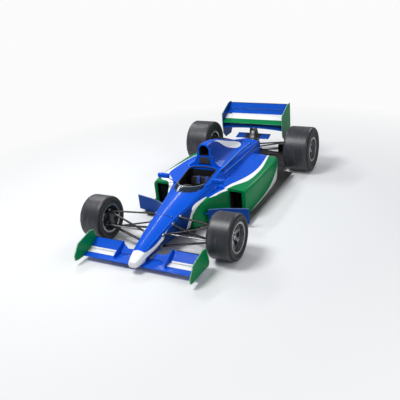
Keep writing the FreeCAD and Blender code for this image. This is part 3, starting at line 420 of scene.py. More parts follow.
# Faces turned steeply sideways below the shoulder take a deeper blue: painted shade.
normal = link_node(tree, "SeparateXYZ", i0=tree.nodes.new("ShaderNodeNewGeometry").outputs["Normal"])
shaded_flanks = both(tree, past(tree, calc(tree, "ABSOLUTE", normal.outputs[0]), 0.60, 0.25),
             past(tree, z, 0.535, 0.02))
colour = painted(tree, colour, calc(tree, "MULTIPLY", shaded_flanks, past(tree, 0.5, drop)), (0.002, 0.045, 0.33))
duct = both(tree, facing_in(tree, x, z, 0.780),
            within(tree, side, y, z, (-1, -0.0435, 0.700), (0.074, 0.30, 0.858)))
recess = within(tree, side, y, z, (-1, -0.0435, 0.598), (0.0785, 0.0055, 0.690))
coloured(cover_paint, painted(tree, drifting(tree, point, colour), either(tree, duct, recess), laminate))
dress(cover_paint, "engine_cover")


def surface_of(*names):
    """A finder of the nearest point met on solid pieces from a place along a way, with its outward way."""
    trees = [BVHTree.FromPolygons([v.co for v in nodes[n].data.vertices],
                                  [p.vertices for p in nodes[n].data.polygons]) for n in names]

    def touch(place, way):
        met = [t.ray_cast(Vector(place), Vector(way).normalized()) for t in trees]
        met = [m for m in met if m[0] is not None]
        if not met:
            raise ValueError("nothing met from %s along %s" % (place, way))
        nearest = min(met, key=lambda m: m[3])
        return nearest[0], nearest[1] if nearest[1].dot(Vector(way)) < 0 else -nearest[1]

    return touch


def skin(name, rows, around=False, along=False, caps=False):
    """A mesh over rows of points. around closes each row, along joins the last row to the first."""
    count = len(rows[0])
    faces = []
    for r in range(len(rows) if along else len(rows) - 1):
        for c in range(count if around else count - 1):
            this, after = r * count, (r + 1) % len(rows) * count
            faces.append((this + c, this + (c + 1) % count, after + (c + 1) % count, after + c))
    if caps:
        faces += [tuple(reversed(range(count))), tuple(range((len(rows) - 1) * count, len(rows) * count))]
    mesh = bpy.data.meshes.new(name)
    mesh.from_pydata([tuple(p) for row in rows for p in row], [], faces)
    return tidied(mesh)


def tidied(mesh):
    """Merge points that lie together and turn all faces outward."""
    work = bmesh.new()
    work.from_mesh(mesh)
    bmesh.ops.remove_doubles(work, verts=work.verts, dist=1e-5)
    bmesh.ops.recalc_face_normals(work, faces=work.faces)
    work.to_mesh(mesh)
    work.free()
    return mesh


def turns(count, start=0.0):
    """Angles spaced evenly round a circle."""
    return [2 * math.pi * (k + start) / count for k in range(count)]


def spun(name, profile, steps=64, closed=False):
    """A mesh turned about its own x axis, from places along it and radii."""
    rows = [[Vector((at, r * math.cos(a), r * math.sin(a))) for at, r in profile] for a in turns(steps)]
    return skin(name, rows, around=closed, along=True)


def aimed(place, way):
    """The frame at a place whose x axis points along a way."""
    turn = Vector((1, 0, 0)).rotation_difference(Vector(way))
    return Matrix.Translation(place) @ turn.to_matrix().to_4x4()


def put(name, mesh, body, made, place=(0, 0, 0), way=(1, 0, 0), stand=None, crease=math.radians(38)):
    """Set a mesh down as a piece that rides on a body, smooth but for its sharp edges."""
    piece = bpy.data.objects.new(name, mesh)
    bpy.context.scene.collection.objects.link(piece)
    mesh.materials.append(made)
    for face in mesh.polygons:
        face.use_smooth = True
    mesh.set_sharp_from_angle(angle=crease)
    piece.matrix_world = stand if stand is not None else aimed(place, way)
    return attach(piece, body)


def cluster(name, source, frames, body, made):
    """Copies of one small mesh, each in its own frame, as one piece."""
    work = bmesh.new()
    for each in frames:
        part = source.copy()
        part.transform(each)
        work.from_mesh(part)
        bpy.data.meshes.remove(part)
    mesh = bpy.data.meshes.new(name)
    work.to_mesh(mesh)
    work.free()
    bpy.data.meshes.remove(source)
    return put(name, mesh, body, made)


def tube(name, points, radius, body, made, closed=False):
    """A round bead, wire or bar along a smooth line."""
    line = bpy.data.curves.new(name, "CURVE")
    line.dimensions = "3D"
    line.bevel_depth = radius
    line.bevel_resolution = 3
    line.resolution_u = 6
    line.use_fill_caps = not closed
    run = line.splines.new("NURBS")
    run.points.add(len(points) - 1)
    for place, at in zip(run.points, points):
        place.co = (*at, 1)
    run.order_u = 3
    run.use_endpoint_u = not closed
    run.use_cyclic_u = closed
    line.materials.append(made)
    piece = bpy.data.objects.new(name, line)
    bpy.context.scene.collection.objects.link(piece)
    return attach(piece, body)


def on_side(sign, place):
    """A place given for the car's left side, or its mirror image on the right."""
    return Vector((sign * place[0], place[1], place[2]))


sides = (("left", 1), ("right", -1))
blue_paint = plain_paint("blue_paint", blue, dust=True)
body_touch = surface_of("nose_cone", "monocoque")

# A raised roll runs along each top edge of the nose, and down the tub's side to a round cap by the mirror.
edge_radius, edge_sunk = 0.012, 0.005
roll_line = [(0.078, -1.735, 0.205), (0.084, -1.640, 0.226), (0.104, -1.451, 0.276), (0.122, -1.242, 0.322),
             (0.148, -1.048, 0.361), (0.182, -0.861, 0.386), (0.214, -0.651, 0.416), (0.240, -0.480, 0.440),
             (0.252, -0.400, 0.440)]
cap_profile = [(-0.010, 0.0), (-0.010, 0.030), (0.004, 0.029), (0.011, 0.022), (0.014, 0.010), (0.0145, 0.0)]
for name, sign in sides:
    roll = []
    for (x0, y0, z0), (x1, y1, z1) in zip(roll_line, roll_line[1:]):
        for share in (0.0, 0.5):
            aim = on_side(sign, (x0 + (x1 - x0) * share, y0 + (y1 - y0) * share, z0 + (z1 - z0) * share))
            met, way = body_touch(aim + Vector((sign * 0.15, 0, 0.15)), (-sign, 0, -1))
            roll.append(met - way * edge_sunk)
    tube("edge_roll_" + name, roll, edge_radius, "chassis", blue_paint)
    cap_place, cap_way = body_touch((sign * 0.6, -0.352, 0.40), (-sign, 0, 0))
    cap = spun("side_cap_" + name, cap_profile, 32)
    put("side_cap_" + name, cap, "chassis", blue_paint, cap_place, cap_way)


def plain_finish(name, colour, scale, smooth, coarse, metallic=0.0, coat=0.0):
    """A material of one colour whose roughness wanders between two values."""
    made = finish(name, colour, (smooth + coarse) / 2, metallic, coat)
    tree = made.node_tree
    rough(made, between(tree, grain(tree, place_of(tree)[0], scale), smooth, coarse))
    return made


# Two rolls run down each shoulder of the engine cover to its tail, in a paler blue that is painted highlight,
# each over a dark line that is partly a joint line and partly painted shade in the crease.
shoulder_touch = surface_of("engine_cover", "monocoque", "sidepod_left", "sidepod_right")
upper_roll = [(0.236, -0.090, 0.548), (0.256, 0.029, 0.563), (0.240, 0.200, 0.559), (0.225, 0.358, 0.553),
              (0.194, 0.570, 0.538), (0.164, 0.775, 0.520), (0.142, 0.990, 0.500), (0.126, 1.201, 0.481)]
lower_roll = [(0.272, -0.060, 0.490), (0.278, 0.130, 0.498), (0.268, 0.320, 0.485), (0.256, 0.515, 0.470),
              (0.235, 0.710, 0.458), (0.213, 0.908, 0.447), (0.202, 1.090, 0.438), (0.193, 1.270, 0.431)]
# The rolls' paler blue is a painted highlight along the shoulders.
roll_highlight_paint = plain_paint("roll_highlight_paint", (0.035, 0.21, 0.88))
# The dark line under each roll is partly a joint line, partly painted shade in the crease.
joint_and_shade_dark = plain_finish("joint_and_shade_dark", (0.003, 0.004, 0.012), 60, 0.6, 0.8)
roll_stretches, joint_shade_radius, roll_sunk, joint_shade_sunk, start_off = 28, 0.0068, 0.003, 0.0025, 0.08
for title, line, thick in (("upper", upper_roll, 0.012), ("lower", lower_roll, 0.009)):
    for name, sign in sides:
        away, down = Vector((sign * 0.75, 0, 0.66)), Vector((sign * 0.66, 0, -0.75))
        path, under = [], []
        for k in range(roll_stretches + 1):
            at = k / roll_stretches * (len(line) - 1)
            low = min(int(at), len(line) - 2)
            on = on_side(sign, Vector(line[low]).lerp(Vector(line[low + 1]), at - low))
            path.append(shoulder_touch(on + away * start_off, -away)[0] - away * roll_sunk)
            below = on + down * (thick + 0.002)
            under.append(shoulder_touch(below + away * start_off, -away)[0] - away * joint_shade_sunk)
        tube("shoulder_roll_%s_%s" % (title, name), path, thick, "chassis", roll_highlight_paint)
        tube("shoulder_joint_shade_%s_%s" % (title, name), under, joint_shade_radius, "chassis", joint_and_shade_dark)

# Quarter-turn fasteners hold the panels: at the nose joint, down the engine cover's front and along the pods.
steel = plain_finish("fastener_steel", (0.30, 0.31, 0.33), 900, 0.22, 0.42, metallic=1.0)
cover_touch = surface_of("engine_cover", "sidepod_left", "sidepod_right", "monocoque")
joint_studs_y, cover_front_y, pod_foot_z = nose_joint_y + 0.014, -0.028, 0.088
cover_studs = [(at, 0.440) for at in (-0.01, 0.20, 0.42, 0.64)] + [(at, 0.405) for at in (0.86, 1.08, 1.30)]
cover_studs += [(cover_front_y, high) for high in (0.62, 0.70, 0.80)]
cover_studs += [(at, pod_foot_z) for at in (-0.24, 0.05, 0.35, 0.65, 0.95)]
spots = []
for sign in (1, -1):
    spots.append(body_touch((sign * 0.088, joint_studs_y, 1.0), (0, 0, -1)))
    spots += [body_touch((sign * 1.2, joint_studs_y, high), (-sign, 0, 0)) for high in (0.150, 0.240)]
    spots += [cover_touch((sign * 1.2, at, high), (-sign, 0, 0)) for at, high in cover_studs]
stud = spun("stud", [(-0.002, 0.0), (-0.002, 0.0066), (0.0006, 0.0064), (0.0012, 0.0056), (0.0012, 0.0024),
                     (0.0002, 0.0016), (0.0002, 0.0)], 20)
cluster("panel_fasteners", stud, [aimed(*spot) for spot in spots], "chassis", steel)

# Front wing: main plane, two flaps, fences and end plates.
# Moulded and sprayed like the body. The planes are blue with a white band behind the leading part, and the
# end plates green with a paler edge bead that is painted highlight. A thin laminate strip stands on each
# flap's trailing edge.

main_band_in, main_band_front = 0.336, -1.751
front_wing_paint, tree, point, x, y, z = paint_finish("front_wing_paint", blue, 0.04)
band = both(tree, past(tree, calc(tree, "ABSOLUTE", x), main_band_in), past(tree, y, main_band_front))
colour = painted(tree, blue, band, white)
coloured(front_wing_paint, dusty(tree, point, z, drifting(tree, point, colour)))
dress(front_wing_paint, "front_wing_main")

flap_band_in, flap_band_rear = 0.362, -1.668
front_flap_paint, tree, point, x, y, z = paint_finish("front_flap_paint", blue, 0.02)
band = both(tree, past(tree, calc(tree, "ABSOLUTE", x), flap_band_in), past(tree, flap_band_rear, y))
colour = painted(tree, blue, band, white)
coloured(front_flap_paint, dusty(tree, point, z, drifting(tree, point, colour)))
dress(front_flap_paint, "front_flaps", "front_fences")
dress(plain_paint("green_paint", green, dust=True), "front_endplates")


def weave(tree, x, y, z, pitch=0.0024):
    """1 on one set of tows and 0 on the other, in a two over two twill."""
    across = calc(tree, "FLOOR", calc(tree, "DIVIDE", calc(tree, "ADD", x, z), pitch))
    along = calc(tree, "FLOOR", calc(tree, "DIVIDE", calc(tree, "ADD", y, z), pitch))
    turn = calc(tree, "FLOORED_MODULO", calc(tree, "ADD", across, along), 4.0)
    return calc(tree, "LESS_THAN", turn, 1.5)


def laminate_finish(name, dark, pale, coat):
    """Bare carbon laminate: two tones of tow under a thin resin, a little dull where it is handled."""
    made = finish(name, pale, 0.4, coat=coat, coat_roughness=0.12)
    tree = made.node_tree
    point, x, y, z = place_of(tree)
    tows = weave(tree, x, y, z)
    handled = past(tree, grain(tree, point, 30, 8), 0.60, 0.3)
    coloured(made, painted(tree, painted(tree, dark, tows, pale), handled, (0.045, 0.044, 0.043)))
    dull = between(tree, grain(tree, point, 9), 0.32, 0.50)
    rough(made, calc(tree, "ADD", calc(tree, "MULTIPLY", tows, 0.10), dull))
    bumpy(made, tows, 0.15, 0.0002)
    return made


def edge_highlight_finish(name, paint, bare, scale, edge):
    """A lighter paint for edge beads, paler again in patches: painted highlight along an edge."""
    made = plain_finish(name, paint, 80, 0.35, 0.6, coat=0.3)
    tree = made.node_tree
    worn = past(tree, grain(tree, place_of(tree)[0], scale, 6), edge, 0.25)
    coloured(made, painted(tree, paint, worn, bare))
    return made


carbon = laminate_finish("carbon_laminate", (0.010, 0.010, 0.011), (0.024, 0.024, 0.027), 0.25)
# The pale green beads round the end plates are painted highlight along their edges, paler in patches.
green_edge_highlight = edge_highlight_finish("green_edge_highlight", (0.03, 0.30, 0.12), (0.30, 0.50, 0.36), 60, 0.47)


def outline_points(node, sign):
    """The corners of a flat plate's outline as y and z, on its outer face, in order round it."""
    mesh = nodes[node].data
    reach = max(v.co.x * sign for v in mesh.vertices)
    outer = [v.co for v in mesh.vertices if abs(v.co.x * sign - reach) < 0.0005]
    middle = sum(outer, Vector()) / len(outer)
    kept = {}
    for p in outer:
        kept[(round(p.y, 4), round(p.z, 4))] = p
    return reach, sorted(((p.y, p.z) for p in kept.values()),
                         key=lambda q: math.atan2(q[1] - middle.z, q[0] - middle.y))


def plate_rim(name, node, sign, radius, made, thickness=0.009):
    """A bead round the whole edge of a plate."""
    reach, ring = outline_points(node, sign)
    points = []
    for (y0, z0), (y1, z1) in zip(ring, ring[1:] + ring[:1]):
        points += [(sign * (reach - thickness / 2), y0 + (y1 - y0) * share, z0 + (z1 - z0) * share)
                   for share in (0.02, 0.98)]
    return tube(name, points, radius, "chassis", made, closed=True)


for name, sign in sides:
    plate_rim("front_plate_edge_" + name, "front_endplates", sign, 0.0056, green_edge_highlight)


def block(name, low, high, edge, segments=2):
    """A block between two corners with rounded edges."""
    work = bmesh.new()
    low, high = Vector(low), Vector(high)
    made = bmesh.ops.create_cube(work, size=1.0)
    for v in made["verts"]:
        v.co = Vector((low[k] + (v.co[k] + 0.5) * (high[k] - low[k]) for k in range(3)))
    bmesh.ops.bevel(work, geom=list(work.edges), offset=edge, segments=segments, profile=0.5,
                    affect="EDGES")
    mesh = bpy.data.meshes.new(name)
    work.to_mesh(mesh)
    work.free()
    return tidied(mesh)


def edge_strip(name, node, x0, x1, rise):
    """A thin upright strip of laminate on a wing's trailing edge."""
    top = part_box(node)[1]
    mesh = block(name, (x0, top.y - 0.0035, top.z - 0.012), (x1, top.y - 0.0005, top.z + rise), 0.0008)
    return put(name, mesh, "chassis", carbon)


edge_strip("front_strip_left", "front_flaps", 0.366, 0.739, 0.007)
edge_strip("front_strip_right", "front_flaps", -0.739, -0.366, 0.007)

# Rear wing: three planes between end plates, an arched plane below them, and a winglet over the gear case.
# The upper planes are blue, the main plane is green with a white band along its back, and the end plates are
# green outside and deep blue inside. Two bare laminate pylons carry the wing on the gear case.

rear_band_front = 1.695
rear_main_paint, tree, point, x, y, z = paint_finish("rear_main_paint", green)
coloured(rear_main_paint, drifting(tree, point, painted(tree, green, past(tree, y, rear_band_front), white)))
dress(rear_main_paint, "rear_wing_main")

deep_paint = plain_paint("deep_blue_paint", (0.003, 0.050, 0.27), 0.10)
dress(deep_paint, "rear_wing_lower", "bargeboards")
dress(plain_paint("wing_paint", (0.002, 0.070, 0.46), 0.08), "rear_wing_flaps")

winglet_bare_half = 0.125
winglet_paint, tree, point, x, y, z = paint_finish("winglet_paint", blue)
tips = past(tree, calc(tree, "ABSOLUTE", x), winglet_bare_half)
coloured(winglet_paint, painted(tree, laminate, tips, drifting(tree, point, (0.002, 0.060, 0.36))))
dress(winglet_paint, "tail_winglet")

plate_outer_x = 0.4965
rear_plate_paint, tree, point, x, y, z = paint_finish("rear_plate_paint", green, 0.04)
colour = painted(tree, deep_blue, past(tree, calc(tree, "ABSOLUTE", x), plate_outer_x), green)
coloured(rear_plate_paint, drifting(tree, point, colour))
dress(rear_plate_paint, "rear_endplates")
dress(carbon, "rear_wing_pylon")

# One strip stands on the top flap, and one on the flap below it, where it nearly closes the slot: a
# trailing-edge strip that is also dark laminate put in for the shade in the slot.
strip_half = 0.490
edge_strip("rear_strip", "rear_wing_flaps", -strip_half, strip_half, 0.006)
slot_shade_strip = block("rear_slot_shade_strip", (-strip_half, 1.8700, 0.8010), (strip_half, 1.8722, 0.8150), 0.0006)
put("rear_slot_shade_strip", slot_shade_strip, "chassis", carbon)
for name, sign in sides:
    plate_rim("rear_plate_edge_" + name, "rear_endplates", sign, 0.0050, green_edge_highlight)

# Button-head screws hold the planes to the end plates.
plate_spots = []
rear_screws = ((1.64, 0.655), (1.74, 0.690), (1.80, 0.770), (1.84, 0.800), (1.90, 0.842), (1.93, 0.868),
               (1.62, 0.560), (1.72, 0.590))
front_screws = ((-1.80, 0.062), (-1.72, 0.066), (-1.66, 0.098), (-1.60, 0.120))
for sign in (1, -1):
    for plate_x, places in ((0.5, rear_screws), (0.75, front_screws)):
        plate_spots += [aimed((sign * plate_x, at, high), (sign, 0, 0)) for at, high in places]
button = spun("button", [(-0.002, 0.0), (-0.002, 0.0062), (0.0012, 0.0058), (0.0024, 0.0042),
                         (0.0026, 0.0022), (0.0012, 0.0020), (0.0012, 0.0)], 18)
cluster("plate_screws", button, plate_spots, "chassis", steel)

# Floor, diffuser, skid plank and bargeboards.
# The floor and the diffuser are bare carbon laminate, scuffed underneath. The plank is laminated wood held by
# countersunk bolts. The bargeboards are sprayed deep blue, with a paler bead on their top edges that is
# painted highlight.

floor_laminate = laminate_finish("floor_laminate", (0.012, 0.012, 0.012), (0.026, 0.026, 0.027), 0.06)
dress(floor_laminate, "floor", "diffuser")

wood = finish("laminated_wood", (0.30, 0.20, 0.11), 0.6)
tree = wood.node_tree
point, x, y, z = place_of(tree)
figure = grain(tree, point, 6, 8, (14, 0.6, 40))
colour = painted(tree, (0.20, 0.12, 0.055), figure, (0.40, 0.27, 0.15))
coloured(wood, painted(tree, colour, past(tree, 0.0355, z, 0.002), (0.10, 0.075, 0.05)))
rough(wood, between(tree, figure, 0.5, 0.75))
bumpy(wood, figure, 0.2, 0.0006)
dress(wood, "skid_plank")
plank_low, plank_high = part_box("skid_plank")
plank_long, bolts_x = plank_high.y - plank_low.y, 0.10
bolt_spots = [aimed((sign * bolts_x, plank_low.y + plank_long * share, plank_low.z), (0, 0, -1))
              for sign in (1, -1) for share in (0.03, 0.22, 0.41, 0.60, 0.79, 0.97)]
sunk = spun("sunk", [(-0.002, 0.0), (-0.002, 0.012), (0.0004, 0.012), (0.0004, 0.006), (-0.001, 0.004),
                     (-0.001, 0.0)], 24)
cluster("plank_bolts", sunk, bolt_spots, "chassis", steel)

# The pale blue beads on the bargeboards' top edges are painted highlight, paler in patches.
blue_edge_highlight = edge_highlight_finish("blue_edge_highlight", (0.02, 0.07, 0.34), (0.12, 0.19, 0.42), 50, 0.5)


def upper_edge(node, sign, step=0.02):
    """Points along the middle of an upright plate's top edge, from its inner end to its outer end."""
    flat, far_off = 0.001, 9
    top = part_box(node)[1].z
    rim = sorted((v.co.x * sign, v.co.y) for v in nodes[node].data.vertices
                 if v.co.z > top - flat and v.co.x * sign > 0)
    found, row = [], [rim[0]]
    for place in rim[1:] + [(far_off, far_off)]:
        if place[0] - row[0][0] > step:
            found.append((sign * sum(p[0] for p in row) / len(row), sum(p[1] for p in row) / len(row), top))
            row = []
        row.append(place)
    return found


for name, sign in sides:
    tube("board_edge_" + name, upper_edge("bargeboards", sign), 0.0052, "chassis", blue_edge_highlight)

# Cockpit opening, screen and dash.
# A soft black bead covers the cut edge of the opening. The low screen is smoked plastic with a pale edge,
# held by small screws. The dash is bare laminate with one blank display and two plain knobs.

rubber_trim = plain_finish("trim_rubber", (0.012, 0.012, 0.013), 40, 0.5, 0.75)
tree = rubber_trim.node_tree
bumpy(rubber_trim, grain(tree, place_of(tree)[0], 700, 3), 0.2, 0.0004)

tub_touch = surface_of("monocoque")
rear_y, front_y, corner_y, front_half, behind_y = -0.089, -0.600, -0.418, 0.182, -0.13
rim_way = []
for k in range(13):
    a = math.pi * k / 12
    rim_way.append((math.cos(a) * front_half, corner_y + math.sin(a) * (front_y - corner_y)))
flanks = [(0.187, -0.32), (0.192, -0.20), (0.196, -0.115)]
rim_way += [(-across_x, along_y) for across_x, along_y in flanks]
rim_way += [(across_x, rear_y) for across_x in (-0.150, -0.075, 0.0, 0.075, 0.150)] + flanks[::-1]
bead = []
for at_x, at_y in rim_way:
    out = Vector((at_x, at_y - corner_y, 0)).normalized() * 0.005
    met, way = tub_touch((at_x + out.x, at_y + (out.y if at_y < behind_y else 0.006), 1.0), (0, 0, -1))
    bead.append((at_x + out.x * 0.6, at_y, met.z - 0.001))
tube("opening_bead", bead, 0.0085, "chassis", rubber_trim, closed=True)

screen = finish("smoked_screen", (0.30, 0.40, 0.50), 0.12, coat=0.05)
tree = screen.node_tree
shader = tree.nodes["Principled BSDF"]
point, x, y, z = place_of(tree)
shader.inputs["IOR"].default_value = 1.3
shader.inputs["Alpha"].default_value = 0.66
shader.inputs["Specular IOR Level"].default_value = 0.12
rough(screen, between(tree, grain(tree, point, 30), 0.10, 0.20))
# A pale band down the screen carries on the line along the nose: a painted highlight.
highlight_from, highlight_to, pale_above = -0.092, -0.066, 0.5015
screen_highlight = both(tree, past(tree, x, highlight_from, 0.012), past(tree, highlight_to, x, 0.012))
tint_and_highlight = painted(tree, (0.022, 0.036, 0.052), screen_highlight, (0.66, 0.72, 0.78))
coloured(screen, painted(tree, tint_and_highlight, past(tree, z, pale_above, 0.003), (0.20, 0.23, 0.26)))


def smooth_line(points, steps=8):
    """Points along a smooth curve that passes through the given ones."""
    given = [Vector(p) for p in points]
    ends = [given[0] * 2 - given[1]] + given + [given[-1] * 2 - given[-2]]
    found = []
    for a, b, c, d in zip(ends, ends[1:], ends[2:], ends[3:]):
        for k in range(steps):
            t = k / steps
            found.append(0.5 * (2 * b + (c - a) * t + (2 * a - 5 * b + 4 * c - d) * t * t
                                + (3 * b - a - 3 * c + d) * t ** 3))
    return found + [given[-1]]


def mirrored_line(half):
    """A line across the car: the mirror image of its left half, then the half itself."""
    return [on_side(-1, p) for p in reversed(half[1:])] + [Vector(p) for p in half]


screen_foot = mirrored_line([(0.0, -0.716, 1.0), (0.070, -0.703, 1.0), (0.130, -0.664, 1.0),
                             (0.172, -0.605, 1.0), (0.198, -0.540, 1.0), (0.205, -0.502, 1.0)])
screen_base = smooth_line([tub_touch(p, (0, 0, -1))[0] for p in screen_foot])
screen_top = smooth_line(mirrored_line([
    (0.0, -0.592, 0.5060), (0.070, -0.583, 0.5060), (0.122, -0.556, 0.5065), (0.158, -0.520, 0.5075),
    (0.179, -0.490, 0.5085), (0.188, -0.470, 0.5090)]))
screen_bulge, screen_sunk, screen_thick = 0.008, 0.002, 0.004
rows = []
for share in (0.0, 0.2, 0.4, 0.6, 0.8, 1.0):
    lift = Vector((0, 0, screen_bulge * math.sin(math.pi * share) - screen_sunk))
    rows.append([low.lerp(high, share) + lift for low, high in zip(screen_base, screen_top)])
rows += [[p - Vector((0, 0, screen_thick)) for p in row] for row in reversed(rows)]
screen_piece = put("screen", skin("screen", rows, along=True), "chassis", screen)
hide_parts("windscreen")
screen_spots = []
for at_x, at_y in ((0.0, -0.708), (0.072, -0.694), (0.132, -0.654), (0.176, -0.594)):
    for sign in ((1, -1) if at_x else (1,)):
        met, way = tub_touch((sign * at_x, at_y, 1.0), (0, 0, -1))
        screen_spots.append(aimed(met + Vector((0, 0, screen_thick)), (0, -0.25, 1)))
small_profile = [(-0.001, 0.0), (-0.001, 0.0042), (0.0010, 0.0040), (0.0018, 0.0026), (0.0018, 0.0)]
cluster("screen_screws", spun("small", small_profile, 16), screen_spots, "chassis", steel)

dress(carbon, "dashboard")
glass_black = plain_finish("blank_display", (0.006, 0.007, 0.009), 60, 0.10, 0.22, coat=0.5)
dash_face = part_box("dashboard")[1].y
display_low, display_high = (-0.062, dash_face - 0.002, 0.395), (0.062, dash_face + 0.010, 0.425)
put("dash_display", block("dash_display", display_low, display_high, 0.002), "chassis", glass_black)
knob = spun("knob", [(-0.002, 0.0), (-0.002, 0.013), (0.004, 0.013), (0.005, 0.010), (0.017, 0.009),
                     (0.019, 0.007), (0.019, 0.0)], 24)
knob_spots = [aimed((sign * 0.095, dash_face, 0.405), (0, 1, 0)) for sign in (1, -1)]
cluster("dash_knobs", knob, knob_spots, "chassis", rubber_trim)

# Steering wheel.
# A flat-bottomed ring wrapped in dark suede round a laminate plate, with blank keys, a small display, two
# shift paddles and a quick-release boss on a steel column.

column_way = Vector((0, 0.94, 0.34)).normalized()
wheel_middle = Vector((0, -0.516, 0.388))
across = Vector((-1, 0, 0))
rise = column_way.cross(across)
wheel_stand = Matrix.Translation(wheel_middle) @ Matrix((column_way, across, rise)).transposed().to_4x4()

suede = finish("dark_suede", (0.020, 0.020, 0.022), 0.92)
tree = suede.node_tree
shader = tree.nodes["Principled BSDF"]
shader.inputs["Sheen Weight"].default_value = 0.4
shader.inputs["Sheen Roughness"].default_value = 0.5
nap = grain(tree, place_of(tree)[0], 500, 4)
coloured(suede, painted(tree, (0.012, 0.012, 0.014), nap, (0.035, 0.035, 0.038)))
bumpy(suede, nap, 0.3, 0.0005)

ring_radius, ring_thick, ring_flat = 0.118, 0.0125, 0.80


def ring_reach(a):
    """How far the ring lies from its middle at an angle: round, with a flat bottom."""
    return ring_radius if math.sin(a) > -ring_flat else ring_radius * ring_flat / -math.sin(a)


rows = []
for a in turns(72):
    grip = math.exp(-((abs(math.cos(a)) - 1) / 0.10) ** 2)
    row = []
    for b in turns(16):
        thick = ring_thick + 0.0020 * grip * (0.5 + 0.5 * math.cos(3 * b))
        out = ring_reach(a) + thick * math.cos(b)
        row.append(Vector((thick * 0.95 * math.sin(b), out * math.cos(a), out * math.sin(a))))
    rows.append(row)
ring = put("steering_ring", skin("steering_ring", rows, around=True, along=True), "steering_column", suede,
           stand=wheel_stand)
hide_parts("steering_wheel")
seams = []
for a in turns(36):
    inside = ring_reach(a) - ring_thick
    seams.append(wheel_stand @ Vector((0, inside * math.cos(a), inside * math.sin(a))))
tube("ring_seam", seams, 0.0014, "steering_column", rubber_trim, closed=True)

plate_half = [(0.108, -0.012), (0.070, -0.024), (0.040, -0.060)]
plate_outline = [(-0.108, 0.020), (-0.080, 0.034), (-0.040, 0.040), (0.040, 0.040), (0.080, 0.034),
                 (0.108, 0.020)] + plate_half + [(-w, h) for w, h in plate_half[::-1]]
plate_rows = []
for depth, inset in ((-0.004, 0.002), (-0.003, 0.0), (0.003, 0.0), (0.004, 0.002)):
    plate_rows.append([Vector((depth, w * (1 - inset / 0.11), h * (1 - inset / 0.05)))
                       for w, h in plate_outline])
plate = skin("wheel_plate", plate_rows, around=True, caps=True)
put("wheel_plate", plate, "steering_column", carbon, stand=wheel_stand)
display = block("wheel_display", (0.003, -0.034, 0.006), (0.008, 0.034, 0.032), 0.0015)
put("wheel_display", display, "steering_column", glass_black, stand=wheel_stand)
boss_profile = [(-0.300, 0.0), (-0.300, 0.0118), (-0.046, 0.0118), (-0.044, 0.024), (-0.036, 0.027),
                (-0.020, 0.027), (-0.018, 0.022), (-0.006, 0.022), (-0.004, 0.030), (0.006, 0.030),
                (0.008, 0.026), (0.009, 0.0)]
put("wheel_boss", spun("wheel_boss", boss_profile, 36), "steering_column", steel, stand=wheel_stand)
key_places = [(-0.072, 0.014), (-0.052, 0.020), (0.052, 0.020), (0.072, 0.014), (-0.030, -0.036),
              (0.0, -0.045), (0.030, -0.036)]
key = spun("key", [(0.0, 0.0), (0.0, 0.0075), (0.0045, 0.0072), (0.0065, 0.0055), (0.007, 0.0)], 20)
cluster("wheel_keys", key, [wheel_stand @ Matrix.Translation((0.003, w, h)) for w, h in key_places],
        "steering_column", rubber_trim)
for name, sign in (("left", -1), ("right", 1)):
    paddle = block("shift_paddle_" + name, (-0.022, 0.045, -0.012), (-0.018, 0.100, 0.022), 0.0015)
    put("shift_paddle_" + name, paddle, "steering_column", carbon,
        stand=wheel_stand @ Matrix.Diagonal((1, sign, 1, 1)))

# Seat and headrest.
# The seat is a thin laminate shell moulded to the driver, lined with sewn foam pads in dark knitted cloth.
# The headrest is a thick foam pad in the same cloth, pressed into the recess of the engine cover.

seat_cloth = finish("seat_cloth", (0.030, 0.031, 0.034), 0.9)
tree = seat_cloth.node_tree
shader = tree.nodes["Principled BSDF"]
shader.inputs["Sheen Weight"].default_value = 0.35
shader.inputs["Sheen Roughness"].default_value = 0.4
point, x, y, z = place_of(tree)
rib_waves = calc(tree, "MULTIPLY", calc(tree, "ADD", x, z), 2400.0)
cross_waves = calc(tree, "MULTIPLY", calc(tree, "SUBTRACT", x, calc(tree, "MULTIPLY", z, 1.6)), 1500.0)
knit = calc(tree, "MULTIPLY", calc(tree, "SINE", rib_waves), calc(tree, "SINE", cross_waves))
knit = calc(tree, "ADD", calc(tree, "MULTIPLY", knit, 0.5), 0.5)
fluff = grain(tree, point, 90, 6)
coloured(seat_cloth, painted(tree, painted(tree, (0.008, 0.008, 0.009), knit, (0.026, 0.026, 0.029)),
                             past(tree, fluff, 0.58, 0.3), (0.034, 0.034, 0.037)))
bumpy(seat_cloth, calc(tree, "ADD", calc(tree, "MULTIPLY", knit, 0.6), fluff), 0.35, 0.0008)


